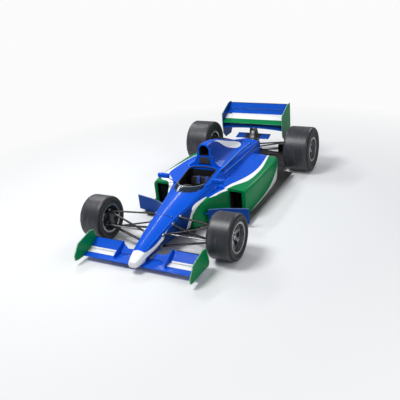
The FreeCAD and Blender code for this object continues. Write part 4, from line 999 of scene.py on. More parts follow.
def swell(piece, held, cap, pressure=4.0, voxel=0.005):
    """Blow a pad up with a short cloth simulation; held points stay, and the cap limits every move."""
    frames = 20
    remesh = piece.modifiers.new("even", "REMESH")
    remesh.mode = "VOXEL"
    remesh.voxel_size = voxel
    fine = bpy.data.meshes.new_from_object(piece.evaluated_get(bpy.context.evaluated_depsgraph_get()))
    piece.modifiers.remove(remesh)
    made = list(piece.data.materials)
    piece.data = fine
    fine.materials.clear()
    for each in made:
        fine.materials.append(each)
    start = [v.co.copy() for v in fine.vertices]
    pins = piece.vertex_groups.new(name="held")
    pins.add([n for n, co in enumerate(start) if held(co)], 1.0, "REPLACE")
    cloth = piece.modifiers.new("cloth", "CLOTH")
    cloth.settings.quality = 5
    cloth.settings.mass = 0.3
    cloth.settings.use_pressure = True
    cloth.settings.uniform_pressure_force = pressure
    cloth.settings.vertex_group_mass = "held"
    cloth.settings.effector_weights.gravity = 0.0
    cloth.point_cache.frame_start, cloth.point_cache.frame_end = 1, frames
    for frame_now in range(1, frames + 1):
        bpy.context.scene.frame_set(frame_now)
    blown = piece.evaluated_get(bpy.context.evaluated_depsgraph_get()).to_mesh()
    for vertex, was, now in zip(fine.vertices, start, [v.co.copy() for v in blown.vertices]):
        move = now - was
        vertex.co = was + (move * (cap / move.length) if move.length > cap else move)
    piece.modifiers.remove(cloth)
    piece.vertex_groups.remove(pins)
    bpy.context.scene.frame_set(1)
    for face in fine.polygons:
        face.use_smooth = True


def joined(meshes):
    """The first mesh with the others added to it."""
    work = bmesh.new()
    for mesh in meshes:
        work.from_mesh(mesh)
    work.to_mesh(meshes[0])
    work.free()
    for mesh in meshes[1:]:
        bpy.data.meshes.remove(mesh)
    return meshes[0]


def cushion(name, corners, thickness, seams_up=(), seams_across=(), pull=0.03):
    """A crowned pad on a four-cornered patch: drawn in between corners, swollen, then sewn in channels."""
    a, b, c, d = (Vector(p) for p in corners)
    out = (b - a).cross(d - a).normalized()
    wide, tall, foot, sewn_foot = 44, 36, 0.004, 0.003
    rows_top, rows_low = [], []
    for j in range(tall + 1):
        v = j / tall
        top_row, low_row = [], []
        for i in range(wide + 1):
            u = i / wide
            pinch_u = 0.5 + (u - 0.5) * (1 - pull * (1 - (2 * v - 1) ** 2))
            pinch_v = 0.5 + (v - 0.5) * (1 - pull * (1 - (2 * u - 1) ** 2))
            base = a.lerp(b, pinch_u).lerp(d.lerp(c, pinch_u), pinch_v)
            edge = max(0.0, (1 - abs(2 * u - 1) ** 7) * (1 - abs(2 * v - 1) ** 7))
            crown = (0.72 + 0.28 * (1 - (2 * u - 1) ** 2) * (1 - (2 * v - 1) ** 2)) * edge ** 0.42
            ripple = 0.012 * math.sin(17 * u + 5 * v) * math.sin(11 * v - 3 * u) * edge
            top_row.append(base + out * thickness * 0.92 * (crown + ripple))
            low_row.append(base)
        rows_top.append(top_row)
        rows_low.append(low_row)
    mesh = joined([skin(name, rows_top), skin(name + "_under", rows_low)])
    piece = put(name, tidied(mesh), "chassis", seat_cloth, crease=math.radians(75))
    swell(piece, lambda co: (co - a).dot(out) < foot, min(0.006, thickness * 0.3))
    across, along = b - a, d - a
    for vertex in piece.data.vertices:
        u = (vertex.co - a).dot(across) / across.length_squared
        v = (vertex.co - a).dot(along) / along.length_squared
        edge = max(0.0, (1 - min(1.0, abs(2 * u - 1)) ** 7) * (1 - min(1.0, abs(2 * v - 1)) ** 7))
        dip = sum(math.exp(-((u - at) / 0.018) ** 2) for at in seams_up)
        dip += sum(math.exp(-((v - at) / 0.022) ** 2) for at in seams_across)
        high = (vertex.co - a).dot(out)
        if high > foot:
            vertex.co -= out * min(0.34 * thickness * dip * edge, high - sewn_foot)
    return piece


centre_path = [(-0.430, 0.118), (-0.405, 0.100), (-0.360, 0.094), (-0.280, 0.098), (-0.215, 0.112),
               (-0.186, 0.135), (-0.172, 0.200), (-0.152, 0.300), (-0.134, 0.400), (-0.128, 0.436),
               (-0.118, 0.442)]
raised_path = [(-0.430, 0.152), (-0.410, 0.158), (-0.365, 0.160), (-0.290, 0.165), (-0.230, 0.180),
               (-0.206, 0.205), (-0.196, 0.250), (-0.180, 0.330), (-0.160, 0.405), (-0.152, 0.432),
               (-0.135, 0.438)]
back_path = [(-0.096, 0.436), (-0.096, 0.200), (-0.096, 0.088), (-0.250, 0.084), (-0.425, 0.084)]
shell_half, flank_from, flank_wide, shell_steps = 0.168, 0.128, 0.022, 32
rows = []
for k in range(shell_steps + 1):
    at_x = -shell_half + 2 * shell_half * k / shell_steps
    lift = min(1.0, max(0.0, (abs(at_x) - flank_from) / flank_wide))
    lift = lift * lift * (3 - 2 * lift)
    ends = 0.004 if k in (0, shell_steps) else 0.0
    rows.append([Vector((at_x, y0 + (y1 - y0) * lift, z0 + (z1 - z0) * lift - ends))
                 for (y0, z0), (y1, z1) in zip(centre_path, raised_path)]
                + [Vector((at_x, y0, z0)) for y0, z0 in back_path])
shell = put("seat_shell", skin("seat_shell", rows, around=True, caps=True), "chassis", carbon)
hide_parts("seat")
back_corners = [(0.118, -0.183, 0.150), (-0.118, -0.183, 0.150), (-0.112, -0.131, 0.425),
                (0.112, -0.131, 0.425)]
cushion("seat_back_pad", back_corners, 0.020, seams_up=(0.27, 0.73), seams_across=(0.25, 0.5, 0.75))
base_corners = [(0.120, -0.400, 0.099), (-0.120, -0.400, 0.099), (-0.120, -0.205, 0.113),
                (0.120, -0.205, 0.113)]
cushion("seat_base_pad", base_corners, 0.018, seams_across=(0.35, 0.68))
for name, sign in sides:
    inner, outer_x = sign * 0.128, sign * 0.146
    corners = [(outer_x, -0.211, 0.205), (inner, -0.182, 0.190), (inner, -0.136, 0.405),
               (outer_x, -0.160, 0.405)]
    corners = corners if sign > 0 else [corners[1], corners[0], corners[3], corners[2]]
    cushion("seat_side_pad_" + name, corners, 0.010, pull=0.05)

head_corners = [(0.072, -0.0485, 0.605), (-0.072, -0.0485, 0.605), (-0.072, -0.0485, 0.682),
                (0.072, -0.0485, 0.682)]
headrest_pad = cushion("headrest_pad", head_corners, 0.030, seams_up=(0.5,))
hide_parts("headrest")
core = block("headrest_core", (-0.0735, -0.052, 0.6035), (0.0735, 0.004, 0.6835), 0.006, 3)
put("headrest_core", core, "chassis", seat_cloth)

# Harness.
# Blue polyester webbing: two shoulder straps, two lap straps and a crotch strap, each sewn at its ends, with
# steel adjusters, all meeting in a round turn-to-open buckle.


def ribbed(tree, value, waves):
    """Waves between 0 and 1 along a value."""
    wave = calc(tree, "SINE", calc(tree, "MULTIPLY", value, waves))
    return calc(tree, "ADD", calc(tree, "MULTIPLY", wave, 0.5), 0.5)


webbing = finish("blue_webbing", (0.008, 0.060, 0.42), 0.85)
tree = webbing.node_tree
tree.nodes["Principled BSDF"].inputs["Sheen Weight"].default_value = 0.25
point, x, y, z = place_of(tree)
rib = ribbed(tree, calc(tree, "ADD", calc(tree, "ADD", x, z), y), 2600.0)
coloured(webbing, painted(tree, painted(tree, (0.004, 0.035, 0.27), rib, (0.010, 0.080, 0.50)),
                          past(tree, grain(tree, point, 70, 5), 0.62, 0.3), (0.02, 0.05, 0.20)))
bumpy(webbing, rib, 0.4, 0.0005)


def strap(name, points, across, width, thickness=0.0026):
    """Flat webbing along a smooth line, thicker at its sewn edges."""
    run = smooth_line(points)
    across = Vector(across).normalized()
    rows = []
    for k, at in enumerate(run):
        way = (run[min(k + 1, len(run) - 1)] - run[max(k - 1, 0)]).normalized()
        side_way = (across - way * across.dot(way)).normalized()
        out = side_way.cross(way)
        row = []
        for w, t in ((-0.5, -0.3), (-0.49, 0.55), (-0.44, 0.62), (-0.40, 0.42), (0.0, 0.46), (0.40, 0.42),
                     (0.44, 0.62), (0.49, 0.55), (0.5, -0.3), (0.0, -0.5)):
            row.append(at + side_way * w * width + out * t * thickness)
        rows.append(row)
    piece = put(name, skin(name, rows, around=True, caps=True), "chassis", webbing)
    return piece


def side_line(sign, places):
    """Places given for the car's left side, or their mirror images on the right."""
    return [on_side(sign, place) for place in places]


shoulder_line = [(0.062, -0.100, 0.437), (0.062, -0.116, 0.449), (0.061, -0.136, 0.446),
                 (0.060, -0.150, 0.425), (0.056, -0.170, 0.340), (0.044, -0.193, 0.250),
                 (0.018, -0.216, 0.190)]
lap_line = [(0.150, -0.190, 0.175), (0.128, -0.205, 0.160), (0.080, -0.222, 0.158), (0.022, -0.226, 0.168)]
crotch_line = [(0, -0.330, 0.118), (0, -0.280, 0.124), (0, -0.240, 0.140), (0, -0.225, 0.160)]
for name, sign in sides:
    shoulder = strap("shoulder_strap_" + name, side_line(sign, shoulder_line), (1, 0, 0), 0.044)
    if sign > 0:
        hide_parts("harness")
    strap("lap_strap_" + name, side_line(sign, lap_line), (0, 0.25, 1), 0.040)
strap("crotch_strap", crotch_line, (1, 0, 0), 0.034)

buckle = spun("harness_buckle", [(-0.008, 0.0), (-0.008, 0.026), (-0.004, 0.030), (0.004, 0.030),
                                 (0.007, 0.027), (0.008, 0.022), (0.012, 0.021), (0.014, 0.018),
                                 (0.014, 0.0)], 36)
buckle_place, buckle_way = Vector((0, -0.222, 0.170)), (0, -0.90, 0.42)
put("harness_buckle", buckle, "chassis", steel, buckle_place, buckle_way)
leaning = Matrix.Rotation(math.radians(-14), 4, "X")
adjusters = [Matrix.Translation((sign * 0.057, -0.1685, 0.356)) @ leaning for sign in (1, -1)]
adjuster = block("adjuster", (-0.026, -0.005, -0.014), (0.026, 0.003, 0.014), 0.003)
cluster("strap_adjusters", adjuster, adjusters, "chassis", steel)

# Mirrors.
# Each blue housing carries a glass in a dark bezel on its rear side. Bezel and glass are rounded rectangles
# that step in towards each other.

dress(blue_paint, "mirrors")
mirror_glass = plain_finish("mirror_glass", (0.75, 0.77, 0.80), 40, 0.02, 0.06, metallic=1.0)


def soft_square(a, wide, tall, power=0.45, power_up=None):
    """The point of a rounded rectangle at an angle, as places across and up."""
    right, up = math.cos(a), math.sin(a)
    return (math.copysign(abs(right) ** power, right) * wide,
            math.copysign(abs(up) ** (power_up or power), up) * tall)


def soft_frame(wide, tall, at_y, middle, power=0.45, count=48):
    """A rounded rectangle across the car at one place of its length."""
    outline = [soft_square(a, wide, tall, power) for a in turns(count)]
    return [Vector((middle[0] + w, at_y, middle[1] + h)) for w, h in outline]


bezel_steps = ((0.0765, 0.0265, -0.452), (0.0755, 0.0255, -0.4390), (0.0735, 0.0235, -0.4370),
               (0.0700, 0.0200, -0.4370), (0.0690, 0.0190, -0.4382), (0.0690, 0.0190, -0.450))
glass_steps = ((0.0692, 0.0192, -0.446), (0.0692, 0.0192, -0.4384))
mirror_parts = (("mirror_bezel_", bezel_steps, carbon), ("mirror_glass_", glass_steps, mirror_glass))
mirror_x, mirror_z = 0.3925, 0.559
for name, sign in sides:
    for title, steps, made in mirror_parts:
        frames = [soft_frame(w, h, at, (sign * mirror_x, mirror_z)) for w, h, at in steps]
        put(title + name, skin(title + name, frames, around=True, caps=True), "chassis", made)

# Engine, gear case, exhausts and rain light.
# The engine and the gear case are bare castings with a dark coating, the pipes are steel coloured by heat,
# and the lamp is a red moulding over rows of small lights.

cast = finish("cast_metal", (0.16, 0.16, 0.17), 0.5, metallic=0.85)
tree = cast.node_tree
point, x, y, z = place_of(tree)
pitted = grain(tree, point, 420, 4)
stained = grain(tree, point, 7, 8)
coloured(cast, painted(tree, painted(tree, (0.07, 0.07, 0.075), stained, (0.22, 0.22, 0.23)),
                       past(tree, grain(tree, point, 18, 8), 0.62, 0.15), (0.05, 0.045, 0.04)))
rough(cast, between(tree, stained, 0.38, 0.66))
bumpy(cast, pitted, 0.25, 0.0008)
dress(cast, "engine", "gearbox", "rear_uprights")

rib_half, rib_top, rib_edge = 0.004, 0.350, 0.002
ribs = []
for x0, x1 in ((0.101, 0.111), (-0.111, -0.101)):
    for at, low in ((0.70, 0.112), (0.86, 0.112), (1.02, 0.112), (1.40, 0.125)):
        ribs.append(block("case_rib", (x0, at - rib_half, low), (x1, at + rib_half, rib_top), rib_edge))
put("case_ribs", joined(ribs), "chassis", cast)

rear_axle_y, cover_z, cover_bolts_out, well_out = 1.545, 0.252, 0.053, 0.4
case_touch = surface_of("gearbox")
case_spots = []
for name, sign in sides:
    met, way = case_touch((sign * well_out, rear_axle_y, cover_z), (-sign, 0, 0))
    cover_plate = spun("side_cover", [(-0.006, 0.0), (-0.006, 0.066), (0.003, 0.065), (0.005, 0.060),
                                      (0.005, 0.040), (0.012, 0.036), (0.012, 0.0)], 48)
    put("side_cover_" + name, cover_plate, "chassis", cast, met, way)
    for a in turns(8):
        at_y, at_z = rear_axle_y + cover_bolts_out * math.cos(a), cover_z + cover_bolts_out * math.sin(a)
        at = case_touch((sign * well_out, at_y, at_z), (-sign, 0, 0))[0]
        case_spots.append(aimed(at + way * 0.005, way))
    case_spots += [aimed((sign * 0.044, 1.78, 0.205 + k * 0.021), (0, 1, 0)) for k in range(5)]
bolt = spun("bolt", [(-0.002, 0.0), (-0.002, 0.0075), (0.0008, 0.0075), (0.0012, 0.0056),
                     (0.0055, 0.0054), (0.0062, 0.0040), (0.0062, 0.0)], 6)
cluster("case_bolts", bolt, case_spots, "chassis", steel)

heated = finish("heated_steel", (0.42, 0.36, 0.30), 0.32, metallic=1.0)
tree = heated.node_tree
point, x, y, z = place_of(tree)
wavy = calc(tree, "MULTIPLY", grain(tree, point, 12, 4), 0.12)
warm = between(tree, calc(tree, "ADD", y, wavy), 0.0, 1.0, 1.16, 1.46)
ramp = tree.nodes.new("ShaderNodeValToRGB")
for at, tint in ((0.0, (0.10, 0.09, 0.09, 1)), (0.35, (0.28, 0.17, 0.09, 1)), (0.6, (0.13, 0.12, 0.26, 1)),
                 (0.8, (0.30, 0.26, 0.20, 1))):
    stop = ramp.color_ramp.elements.new(at)
    stop.color = tint
ramp.color_ramp.elements.remove(ramp.color_ramp.elements[0])
ramp.color_ramp.elements[len(ramp.color_ramp.elements) - 1].color = (0.40, 0.38, 0.35, 1)
tree.links.new(warm, ramp.inputs[0])
bore_radius, bore_from = 0.0303, 1.325
from_bore = reach_of(tree, calc(tree, "ABSOLUTE", x), z, (0.1675, 0.2625))
sooty = both(tree, past(tree, y, bore_from), past(tree, bore_radius, from_bore))
coloured(heated, painted(tree, ramp.outputs[0], sooty, (0.012, 0.011, 0.010)))
rough(heated, between(tree, grain(tree, point, 90), 0.25, 0.5))
dress(heated, "exhausts")
pipe_x, pipe_end_y, pipe_z, lip_radius = 0.168, 1.4135, 0.262, 0.0325
for name, sign in sides:
    ring_points = [(sign * pipe_x + lip_radius * math.cos(a), pipe_end_y, pipe_z + lip_radius * math.sin(a))
                   for a in turns(24)]
    tube("tail_pipe_lip_" + name, ring_points, 0.0022, "chassis", heated, closed=True)

red_lens = finish("red_lens", (0.42, 0.008, 0.008), 0.18, coat=0.6)
tree = red_lens.node_tree
point, x, y, z = place_of(tree)
cell, dot_radius, lens_face_y = 0.010, 0.0034, 1.797
cell_x, cell_z = (calc(tree, "SUBTRACT", calc(tree, "FLOORED_MODULO", v, cell), cell / 2) for v in (x, z))
dot = reach_of(tree, cell_x, cell_z)
dots = both(tree, past(tree, dot_radius, dot, 0.001), past(tree, y, lens_face_y))
coloured(red_lens, painted(tree, (0.26, 0.004, 0.004), dots, (0.75, 0.05, 0.03)))
rough(red_lens, between(tree, grain(tree, point, 60), 0.12, 0.25))
bumpy(red_lens, dots, 0.4, 0.0006)
dress(red_lens, "rain_light")
lamp_rows = [soft_frame(0.032 + grow, 0.027 + grow, 1.780 + depth, (0.0, 0.331), 0.3)
             for depth, grow in ((-0.001, 0.003), (0.006, 0.003), (0.007, 0.001))]
put("lamp_surround", skin("lamp_surround", lamp_rows, around=True, caps=True), "chassis", rubber_trim)

# Radiators.
# Each core is a pack of thin fins between flat tubes, in a pressed frame, leaning back across its duct.

core_finish = finish("fin_core", (0.10, 0.10, 0.105), 0.45, metallic=0.6)
tree = core_finish.node_tree
point, x, y, z = place_of(tree)
fin_pitch, fin_gap, tube_pitch, tube_gap = 0.0040, 0.0022, 0.018, 0.0145
along_face = calc(tree, "ADD", x, calc(tree, "MULTIPLY", y, 0.3))
fins = past(tree, calc(tree, "FLOORED_MODULO", along_face, fin_pitch), fin_gap, 0.0008)
tubes = past(tree, calc(tree, "FLOORED_MODULO", z, tube_pitch), tube_gap, 0.001)
colour = painted(tree, (0.012, 0.012, 0.013), fins, (0.085, 0.085, 0.09))
colour = painted(tree, colour, tubes, (0.20, 0.20, 0.21))
dirty = past(tree, grain(tree, point, 22, 8), 0.60, 0.25)
coloured(core_finish, painted(tree, colour, dirty, (0.055, 0.05, 0.045)))
rough(core_finish, between(tree, grain(tree, point, 40), 0.4, 0.7))
bumpy(core_finish, calc(tree, "ADD", fins, tubes), 0.6, 0.0015)
dress(core_finish, "radiators")
frame_line = [(0.452, -0.0872, 0.076), (0.617, -0.2136, 0.076), (0.617, -0.2136, 0.356),
              (0.452, -0.0872, 0.356)]
for name, sign in sides:
    corners = side_line(sign, frame_line)
    path = []
    for p, q in zip(corners, corners[1:] + corners[:1]):
        path += [p.lerp(q, 0.02), p.lerp(q, 0.98)]
    tube("radiator_frame_" + name, path, 0.006, "chassis", cast, closed=True)

# A moulded shroud closes the gap between the rear-wing pylons, and hoses run from engine to gear case.
shroud_rows = []
for high, fore, aft, half in ((0.380, 1.520, 1.742, 0.088), (0.425, 1.560, 1.740, 0.078),
                              (0.480, 1.600, 1.734, 0.062), (0.530, 1.625, 1.724, 0.054),
                              (0.545, 1.640, 1.714, 0.046)):
    outline = [soft_square(a, half, (aft - fore) / 2, 0.45, 0.6) for a in turns(40)]
    shroud_rows.append([Vector((w, (fore + aft) / 2 + along, high)) for w, along in outline])
put("pylon_shroud", skin("pylon_shroud", shroud_rows, around=True, caps=True), "chassis", carbon)


def mottled(made, dark, pale, *noise):
    """Colour a material in two tones that run into each other, from the scale and detail of its noise."""
    tree = made.node_tree
    coloured(made, painted(tree, dark, grain(tree, place_of(tree)[0], *noise), pale))
    return made


hose_rubber = finish("hose_rubber", (0.020, 0.020, 0.021), 0.6)
mottled(hose_rubber, (0.014, 0.014, 0.015), (0.034, 0.034, 0.036), 70)
hose_line = [(0.105, 1.330, 0.385), (0.118, 1.400, 0.418), (0.120, 1.480, 0.430), (0.108, 1.560, 0.415),
             (0.092, 1.610, 0.370), (0.070, 1.630, 0.330)]
pipe_line = [(0.030, 1.370, 0.400), (0.026, 1.450, 0.440), (0.030, 1.540, 0.446), (0.034, 1.620, 0.420),
             (0.030, 1.700, 0.372)]
for name, sign in sides:
    tube("oil_hose_" + name, side_line(sign, hose_line), 0.011, "chassis", hose_rubber)
    tube("brake_pipe_" + name, side_line(sign, pipe_line), 0.006, "chassis", hose_rubber)

# Suspension.
# Flat-section wishbones and pushrods of bare laminate with steel rod ends, cast uprights with their calipers,
# sprung dampers on top of the gear case, and steel driveshafts with pleated rubber boots.

arm_finish = laminate_finish("arm_laminate", (0.006, 0.006, 0.007), (0.015, 0.015, 0.017), 0.16)
arm_finish.node_tree.nodes["Principled BSDF"].inputs["Specular IOR Level"].default_value = 0.15
dress(arm_finish, "front_wishbones", "rear_wishbones")
machined = plain_finish("machined_steel", (0.30, 0.30, 0.32), 300, 0.26, 0.48, metallic=0.9)
mottled(machined, (0.20, 0.20, 0.21), (0.36, 0.36, 0.38), 30, 6)
dress(machined, "driveshafts", "track_rods")
upright_finish = plain_finish("upright_casting", (0.11, 0.11, 0.12), 60, 0.36, 0.6, metallic=0.8)
mottled(upright_finish, (0.06, 0.06, 0.065), (0.16, 0.16, 0.17), 24, 6)
tree = upright_finish.node_tree
bumpy(upright_finish, grain(tree, place_of(tree)[0], 420, 4), 0.2, 0.0006)
dress(upright_finish, "front_upright_left", "front_upright_right")

coil_inner, coil_outer, coil_front, coil_rear = 0.0165, 0.026, 1.4215, 1.489
damper_finish = finish("damper_steel", (0.20, 0.20, 0.22), 0.35, metallic=0.9)
tree = damper_finish.node_tree
point, x, y, z = place_of(tree)
radius = reach_of(tree, calc(tree, "ABSOLUTE", x), z, (0.060, 0.394))
coil = both(tree, past(tree, radius, coil_inner), past(tree, coil_outer, radius), past(tree, y, coil_front),
            past(tree, coil_rear, y))
colour = painted(tree, (0.15, 0.15, 0.16), grain(tree, point, 50, 5), (0.26, 0.26, 0.27))
coloured(damper_finish, painted(tree, colour, coil, (0.030, 0.030, 0.034)))
rough(damper_finish, between(tree, grain(tree, point, 200), 0.26, 0.46))
dress(damper_finish, "rear_dampers")

front_axle_y = -1.255
rod_ends = spun("rod_end", [(-0.017, 0.0), (-0.017, 0.011), (-0.012, 0.0145), (0.0, 0.0165), (0.012, 0.0145),
                            (0.017, 0.011), (0.017, 0.0)], 24)
end_line = ((0.726, front_axle_y, 0.188), (0.726, front_axle_y, 0.378))
end_spots = [aimed(at, (0, 0, 1)) for sign in (1, -1) for at in side_line(sign, end_line)]
cluster("upright_rod_ends", rod_ends, end_spots, "chassis", machined)

inner_touch = surface_of("nose_cone", "monocoque")
tabs = []
for sign in (1, -1):
    for at_y, at_z in ((-1.425, 0.252), (-1.075, 0.330), (-1.445, 0.116), (-1.045, 0.122), (-1.225, 0.300)):
        met, way = inner_touch((sign * 0.7, at_y, at_z), (-sign, 0, 0))
        tabs.append(aimed(met, way))
tab = spun("tab", [(-0.004, 0.0), (-0.004, 0.024), (0.003, 0.023), (0.006, 0.018), (0.012, 0.015),
                   (0.016, 0.012), (0.016, 0.0)], 28)
cluster("arm_tabs", tab, tabs, "chassis", machined)

boot_rubber = plain_finish("boot_rubber", (0.015, 0.015, 0.016), 50, 0.55, 0.8)
pleats = [(-0.004, 0.0), (-0.004, 0.046)]
for k in range(6):
    pleats += [(0.006 + k * 0.010, 0.045 - k * 0.0042), (0.011 + k * 0.010, 0.038 - k * 0.0036)]
pleats += [(0.070, 0.0225), (0.078, 0.0225), (0.080, 0.0)]
shaft_line = ((0.106, rear_axle_y, 0.2655), (0.634, rear_axle_y, 0.3295))
for name, sign in sides:
    start, end = side_line(sign, shaft_line)
    way = (end - start).normalized()
    for title, place, turn in (("inner", start, way), ("outer", end, -way)):
        put("shaft_boot_%s_%s" % (title, name), spun("boot", pleats, 36), "chassis", boot_rubber, place, turn)


def scoop(name, body, sign, sections, hub, thin=0.10):
    """An open duct of laminate, from each section's shift outward, place, half width and half height."""
    at_x, at_z = hub
    rows = [soft_frame(wide, tall, at_y, (sign * (at_x + shift), at_z), 0.5, 32)
            for shift, at_y, wide, tall in sections]
    middle = sign * (at_x + 0.003)
    inner = [[Vector((p.x + (middle - p.x) * thin, p.y + 0.001, p.z + (at_z - p.z) * thin * 0.8))
              for p in row] for row in reversed(rows)]
    return put(name, skin(name, rows + inner, around=True, along=True), body, carbon)


# Laminate scoops on the uprights feed air to the discs.
front_sections = ((0.0, -1.363, 0.024, 0.032), (0.002, -1.335, 0.022, 0.030), (0.005, -1.305, 0.019, 0.027),
                  (0.006, -1.282, 0.017, 0.025))
rear_sections = ((-0.020, 1.335, 0.036, 0.078), (-0.012, 1.380, 0.034, 0.074), (0.000, 1.440, 0.029, 0.066),
                 (0.010, 1.500, 0.024, 0.056))
for name, sign in sides:
    scoop("brake_scoop_" + name, "knuckle_" + name, sign, front_sections, (0.750, 0.330))
    scoop("rear_scoop_" + name, "chassis", sign, rear_sections, (0.574, 0.372), 0.07)

# Wheels.
# Forged rims in dull grey metal with a paler lip, a locking nut, a carbon disc behind the spokes and a valve.
# The tyres are slicks: a dull grey worn tread, fine moulded rings on the walls painted pale as highlights,
# and a bead step at the rim.

front_axle_z, rear_axle_z = 0.272, 0.330
front_hub_x, rear_hub_x = 0.850, 0.810
front_half, rear_half = 0.150, 0.190
lip_in, face_in = 0.016, 0.076
rim_metal = finish("rim_metal", (0.055, 0.055, 0.06), 0.3, metallic=0.8, coat=0.2)
tree = rim_metal.node_tree
point, x, y, z = place_of(tree)
is_rear = past(tree, y, 0.0)
hub_y = calc(tree, "ADD", front_axle_y, calc(tree, "MULTIPLY", is_rear, rear_axle_y - front_axle_y))
hub_z = calc(tree, "ADD", front_axle_z, calc(tree, "MULTIPLY", is_rear, rear_axle_z - front_axle_z))
hub_x = calc(tree, "SUBTRACT", front_hub_x, calc(tree, "MULTIPLY", is_rear, front_hub_x - rear_hub_x))
radius = reach_of(tree, y, z, (hub_y, hub_z))
outward = calc(tree, "SUBTRACT", calc(tree, "ABSOLUTE", x), hub_x)
face_at = calc(tree, "ADD", front_half - face_in, calc(tree, "MULTIPLY", is_rear, rear_half - front_half))
disc_behind, disc_radius, bell_radius, lip_from = 0.052, 0.1395, 0.047, 0.1735
behind = past(tree, calc(tree, "SUBTRACT", face_at, disc_behind), outward, 0.002)
disc = both(tree, behind, past(tree, disc_radius, radius), past(tree, radius, bell_radius))
turned = painted(tree, (0.020, 0.020, 0.021), ribbed(tree, radius, 3200.0), (0.055, 0.052, 0.050))
colour = painted(tree, (0.26, 0.26, 0.27), grain(tree, point, 20, 5), (0.40, 0.40, 0.42))
colour = painted(tree, colour, disc, turned)
lip = past(tree, radius, lip_from)
coloured(rim_metal, painted(tree, colour, lip, (0.34, 0.34, 0.36)))
rough(rim_metal, between(tree, grain(tree, point, 70), 0.16, 0.30))
dress(rim_metal, "rim_front_left", "rim_front_right", "rim_rear_left", "rim_rear_right")

nut_metal = plain_finish("nut_metal", (0.42, 0.42, 0.44), 200, 0.2, 0.4, metallic=1.0)
tyre_rubber = finish("tyre_rubber", (0.040, 0.041, 0.046), 0.6)
tree = tyre_rubber.node_tree
shader = tree.nodes["Principled BSDF"]
shader.inputs["Sheen Weight"].default_value = 0.04
shader.inputs["Sheen Roughness"].default_value = 0.45
shader.inputs["Sheen Tint"].default_value = (0.80, 0.84, 1.0, 1.0)
shader.inputs["Specular IOR Level"].default_value = 0.50
point, x, y, z = place_of(tree)
radius = reach_of(tree, y, z)


def scuffs(across, around, detail):
    """Noise over the tread, from its scales across the tyre and round it."""
    place = link_node(tree, "CombineXYZ", X=calc(tree, "MULTIPLY", x, across),
                      Y=calc(tree, "MULTIPLY", y, around), Z=calc(tree, "MULTIPLY", z, around))
    return link_node(tree, "TexNoise", Vector=place.outputs[0], Scale=1.0, Detail=detail).outputs[0]


scrubbed, worn = scuffs(60.0, 5.0, 6.0), scuffs(30.0, 7.0, 3.0)
crumbs = past(tree, grain(tree, point, 160, 6), 0.60, 0.06)
tread = painted(tree, (0.015, 0.015, 0.019), scrubbed, (0.044, 0.045, 0.058))
dark_share = calc(tree, "MULTIPLY", past(tree, worn, 0.52, 0.10), 0.40)
pale_share = calc(tree, "MULTIPLY", past(tree, 0.38, worn, 0.08), 0.35)
tread = painted(tree, tread, dark_share, (0.013, 0.013, 0.016))
tread = painted(tree, tread, pale_share, (0.100, 0.102, 0.120))
tread = painted(tree, tread, both(tree, crumbs, past(tree, scrubbed, 0.45, 0.1)), (0.008, 0.008, 0.010))
wall = painted(tree, (0.004, 0.004, 0.004), grain(tree, point, 12, 5), (0.010, 0.010, 0.010))

# Both tyre sizes share the one material, so the masks tell them apart by radius and width.
rear_tread_from, front_tread_from, front_tread_half, rear_wall_from = 0.3215, 0.2640, 0.139, 0.1525
edge_at = calc(tree, "ABSOLUTE", x)
front_tread = both(tree, past(tree, radius, front_tread_from, 0.004),
                   past(tree, front_tread_half, edge_at, 0.004))
on_tread = either(tree, past(tree, radius, rear_tread_from, 0.004), front_tread)
taller = calc(tree, "MULTIPLY", past(tree, edge_at, rear_wall_from), 0.058)
shrink = calc(tree, "SUBTRACT", radius, taller)
# Thin pale rings on the dark walls: painted highlights on the moulded rings.
ring_highlights = either(tree, on_line(tree, radius, 0.1800, 0.005), on_line(tree, radius, 0.1890, 0.003),
                 on_line(tree, shrink, 0.2240, 0.003), on_line(tree, shrink, 0.2370, 0.0025))
wall = painted(tree, wall, ring_highlights, (0.14, 0.14, 0.145))
coloured(tyre_rubber, painted(tree, wall, on_tread, tread))
wall_rough = calc(tree, "MULTIPLY", calc(tree, "SUBTRACT", 1.0, on_tread), 0.35)
rough(tyre_rubber, calc(tree, "ADD", between(tree, scrubbed, 0.33, 0.47), wall_rough))
fine = calc(tree, "MULTIPLY", grain(tree, point, 260, 4), 0.5)
bumpy(tyre_rubber, calc(tree, "ADD", fine, calc(tree, "MULTIPLY", crumbs, 0.6)), 0.25, 0.0010)


def tyre_profile(half, reach):
    """Half section of a slick from bead to middle of the tread, as places along the axle and radii."""
    corner, wall_in, wall_foot, swell_out, ridge, groove = 0.044, 0.0175, 0.1825, 0.0165, 0.0011, 0.0006
    wall_top = reach - corner
    steps = [(half - 0.026, 0.166), (half - 0.0245, 0.1785), (half - 0.0215, 0.1800), (half - 0.0190, 0.1795),
             (half - wall_in, wall_foot)]
    for k in range(1, 15):
        share = k / 15
        bulge = half - wall_in + swell_out * math.sin(share * math.pi * 0.55) / math.sin(math.pi * 0.55)
        high = wall_foot + (wall_top - wall_foot) * share
        if k in (2, 4, 11):
            steps += [(bulge, high - 0.0012), (bulge + ridge, high), (bulge, high + 0.0012)]
        else:
            steps.append((bulge, high))
    for k in range(10):
        a = math.radians(90 * k / 9)
        sunk = groove if k in (2, 6) else 0.0
        steps.append((half - corner + corner * math.cos(a) - sunk, wall_top + corner * math.sin(a) - sunk))
    return steps + [((half - corner) * share, reach - 0.0004 * share) for share in (0.80, 0.60, 0.40, 0.20)]


def round_hub(angle, reach):
    """A step out from an axle at an angle."""
    return Vector((0, math.sin(angle), math.cos(angle))) * reach


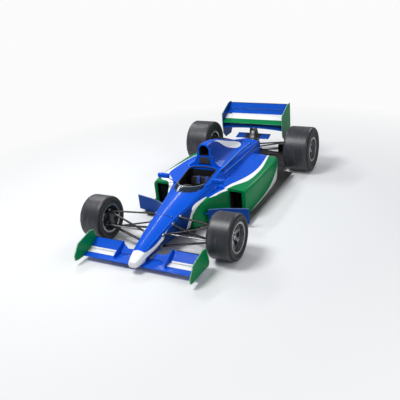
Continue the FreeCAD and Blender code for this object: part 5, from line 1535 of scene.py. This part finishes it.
nut_profile = [(0.0, 0.0), (0.0, 0.041), (0.004, 0.041), (0.006, 0.037), (0.022, 0.034), (0.030, 0.030),
               (0.032, 0.024), (0.020, 0.021), (0.020, 0.0)]
pin_profile = [(-0.004, 0.0), (-0.004, 0.0052), (0.004, 0.0052), (0.0055, 0.0035), (0.0055, 0.0)]
rivet_profile = [(-0.002, 0.0), (-0.002, 0.0036), (0.0016, 0.0034), (0.0024, 0.0020), (0.0024, 0.0)]
valve_profile = [(-0.010, 0.0), (-0.010, 0.0036), (0.010, 0.0034), (0.012, 0.0042), (0.022, 0.0042),
                 (0.024, 0.0030), (0.024, 0.0)]
pins_out, bolts_out, lip_out, valve_out = 0.0475, 0.1515, 0.1745, 0.152
axles = (("front_", front_hub_x, front_axle_y, front_axle_z, front_half),
         ("rear_", rear_hub_x, rear_axle_y, rear_axle_z, rear_half))
for end, hub_x, axle_y, axle_z, half in axles:
    for side_name, sign in sides:
        name = end + side_name
        body, way, face, lip_x = "wheel_" + name, Vector((sign, 0, 0)), half - face_in, half - lip_in
        middle = Vector((sign * hub_x, axle_y, axle_z))
        section = tyre_profile(half, axle_z)
        closed_section = section + [(0.0, axle_z)] + [(-at, r) for at, r in reversed(section)]
        mesh = spun("slick_" + name, closed_section, 96, closed=True)
        piece = put("slick_" + name, mesh, body, tyre_rubber, middle, crease=math.radians(60))
        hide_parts("tyre_" + name)
        nut = spun("wheel_nut_" + name, nut_profile, 36)
        put("wheel_nut_" + name, nut, body, nut_metal, middle + way * (face - 0.008), way)
        drive = [aimed(middle + way * (face - 0.0115) + round_hub(a, pins_out), way) for a in turns(7, 0.5)]
        cluster("drive_pins_" + name, spun("pin", pin_profile, 16), drive, body, nut_metal)
        rivets = [aimed(middle + way * (face + 0.0035) + round_hub(a, bolts_out), way) for a in turns(28)]
        cluster("rim_bolts_" + name, spun("rivet", rivet_profile, 10), rivets, body, nut_metal)
        lip_ring = [middle + way * (lip_x + 0.0002) + round_hub(a, lip_out) for a in turns(48)]
        tube("rim_lip_" + name, lip_ring, 0.0032, body, nut_metal, closed=True)
        valve_place = middle + way * (lip_x - 0.022) + round_hub(0.0, valve_out)
        valve = spun("valve", valve_profile, 16)
        put("tyre_valve_" + name, valve, body, boot_rubber, valve_place, (sign, 0, -0.35))
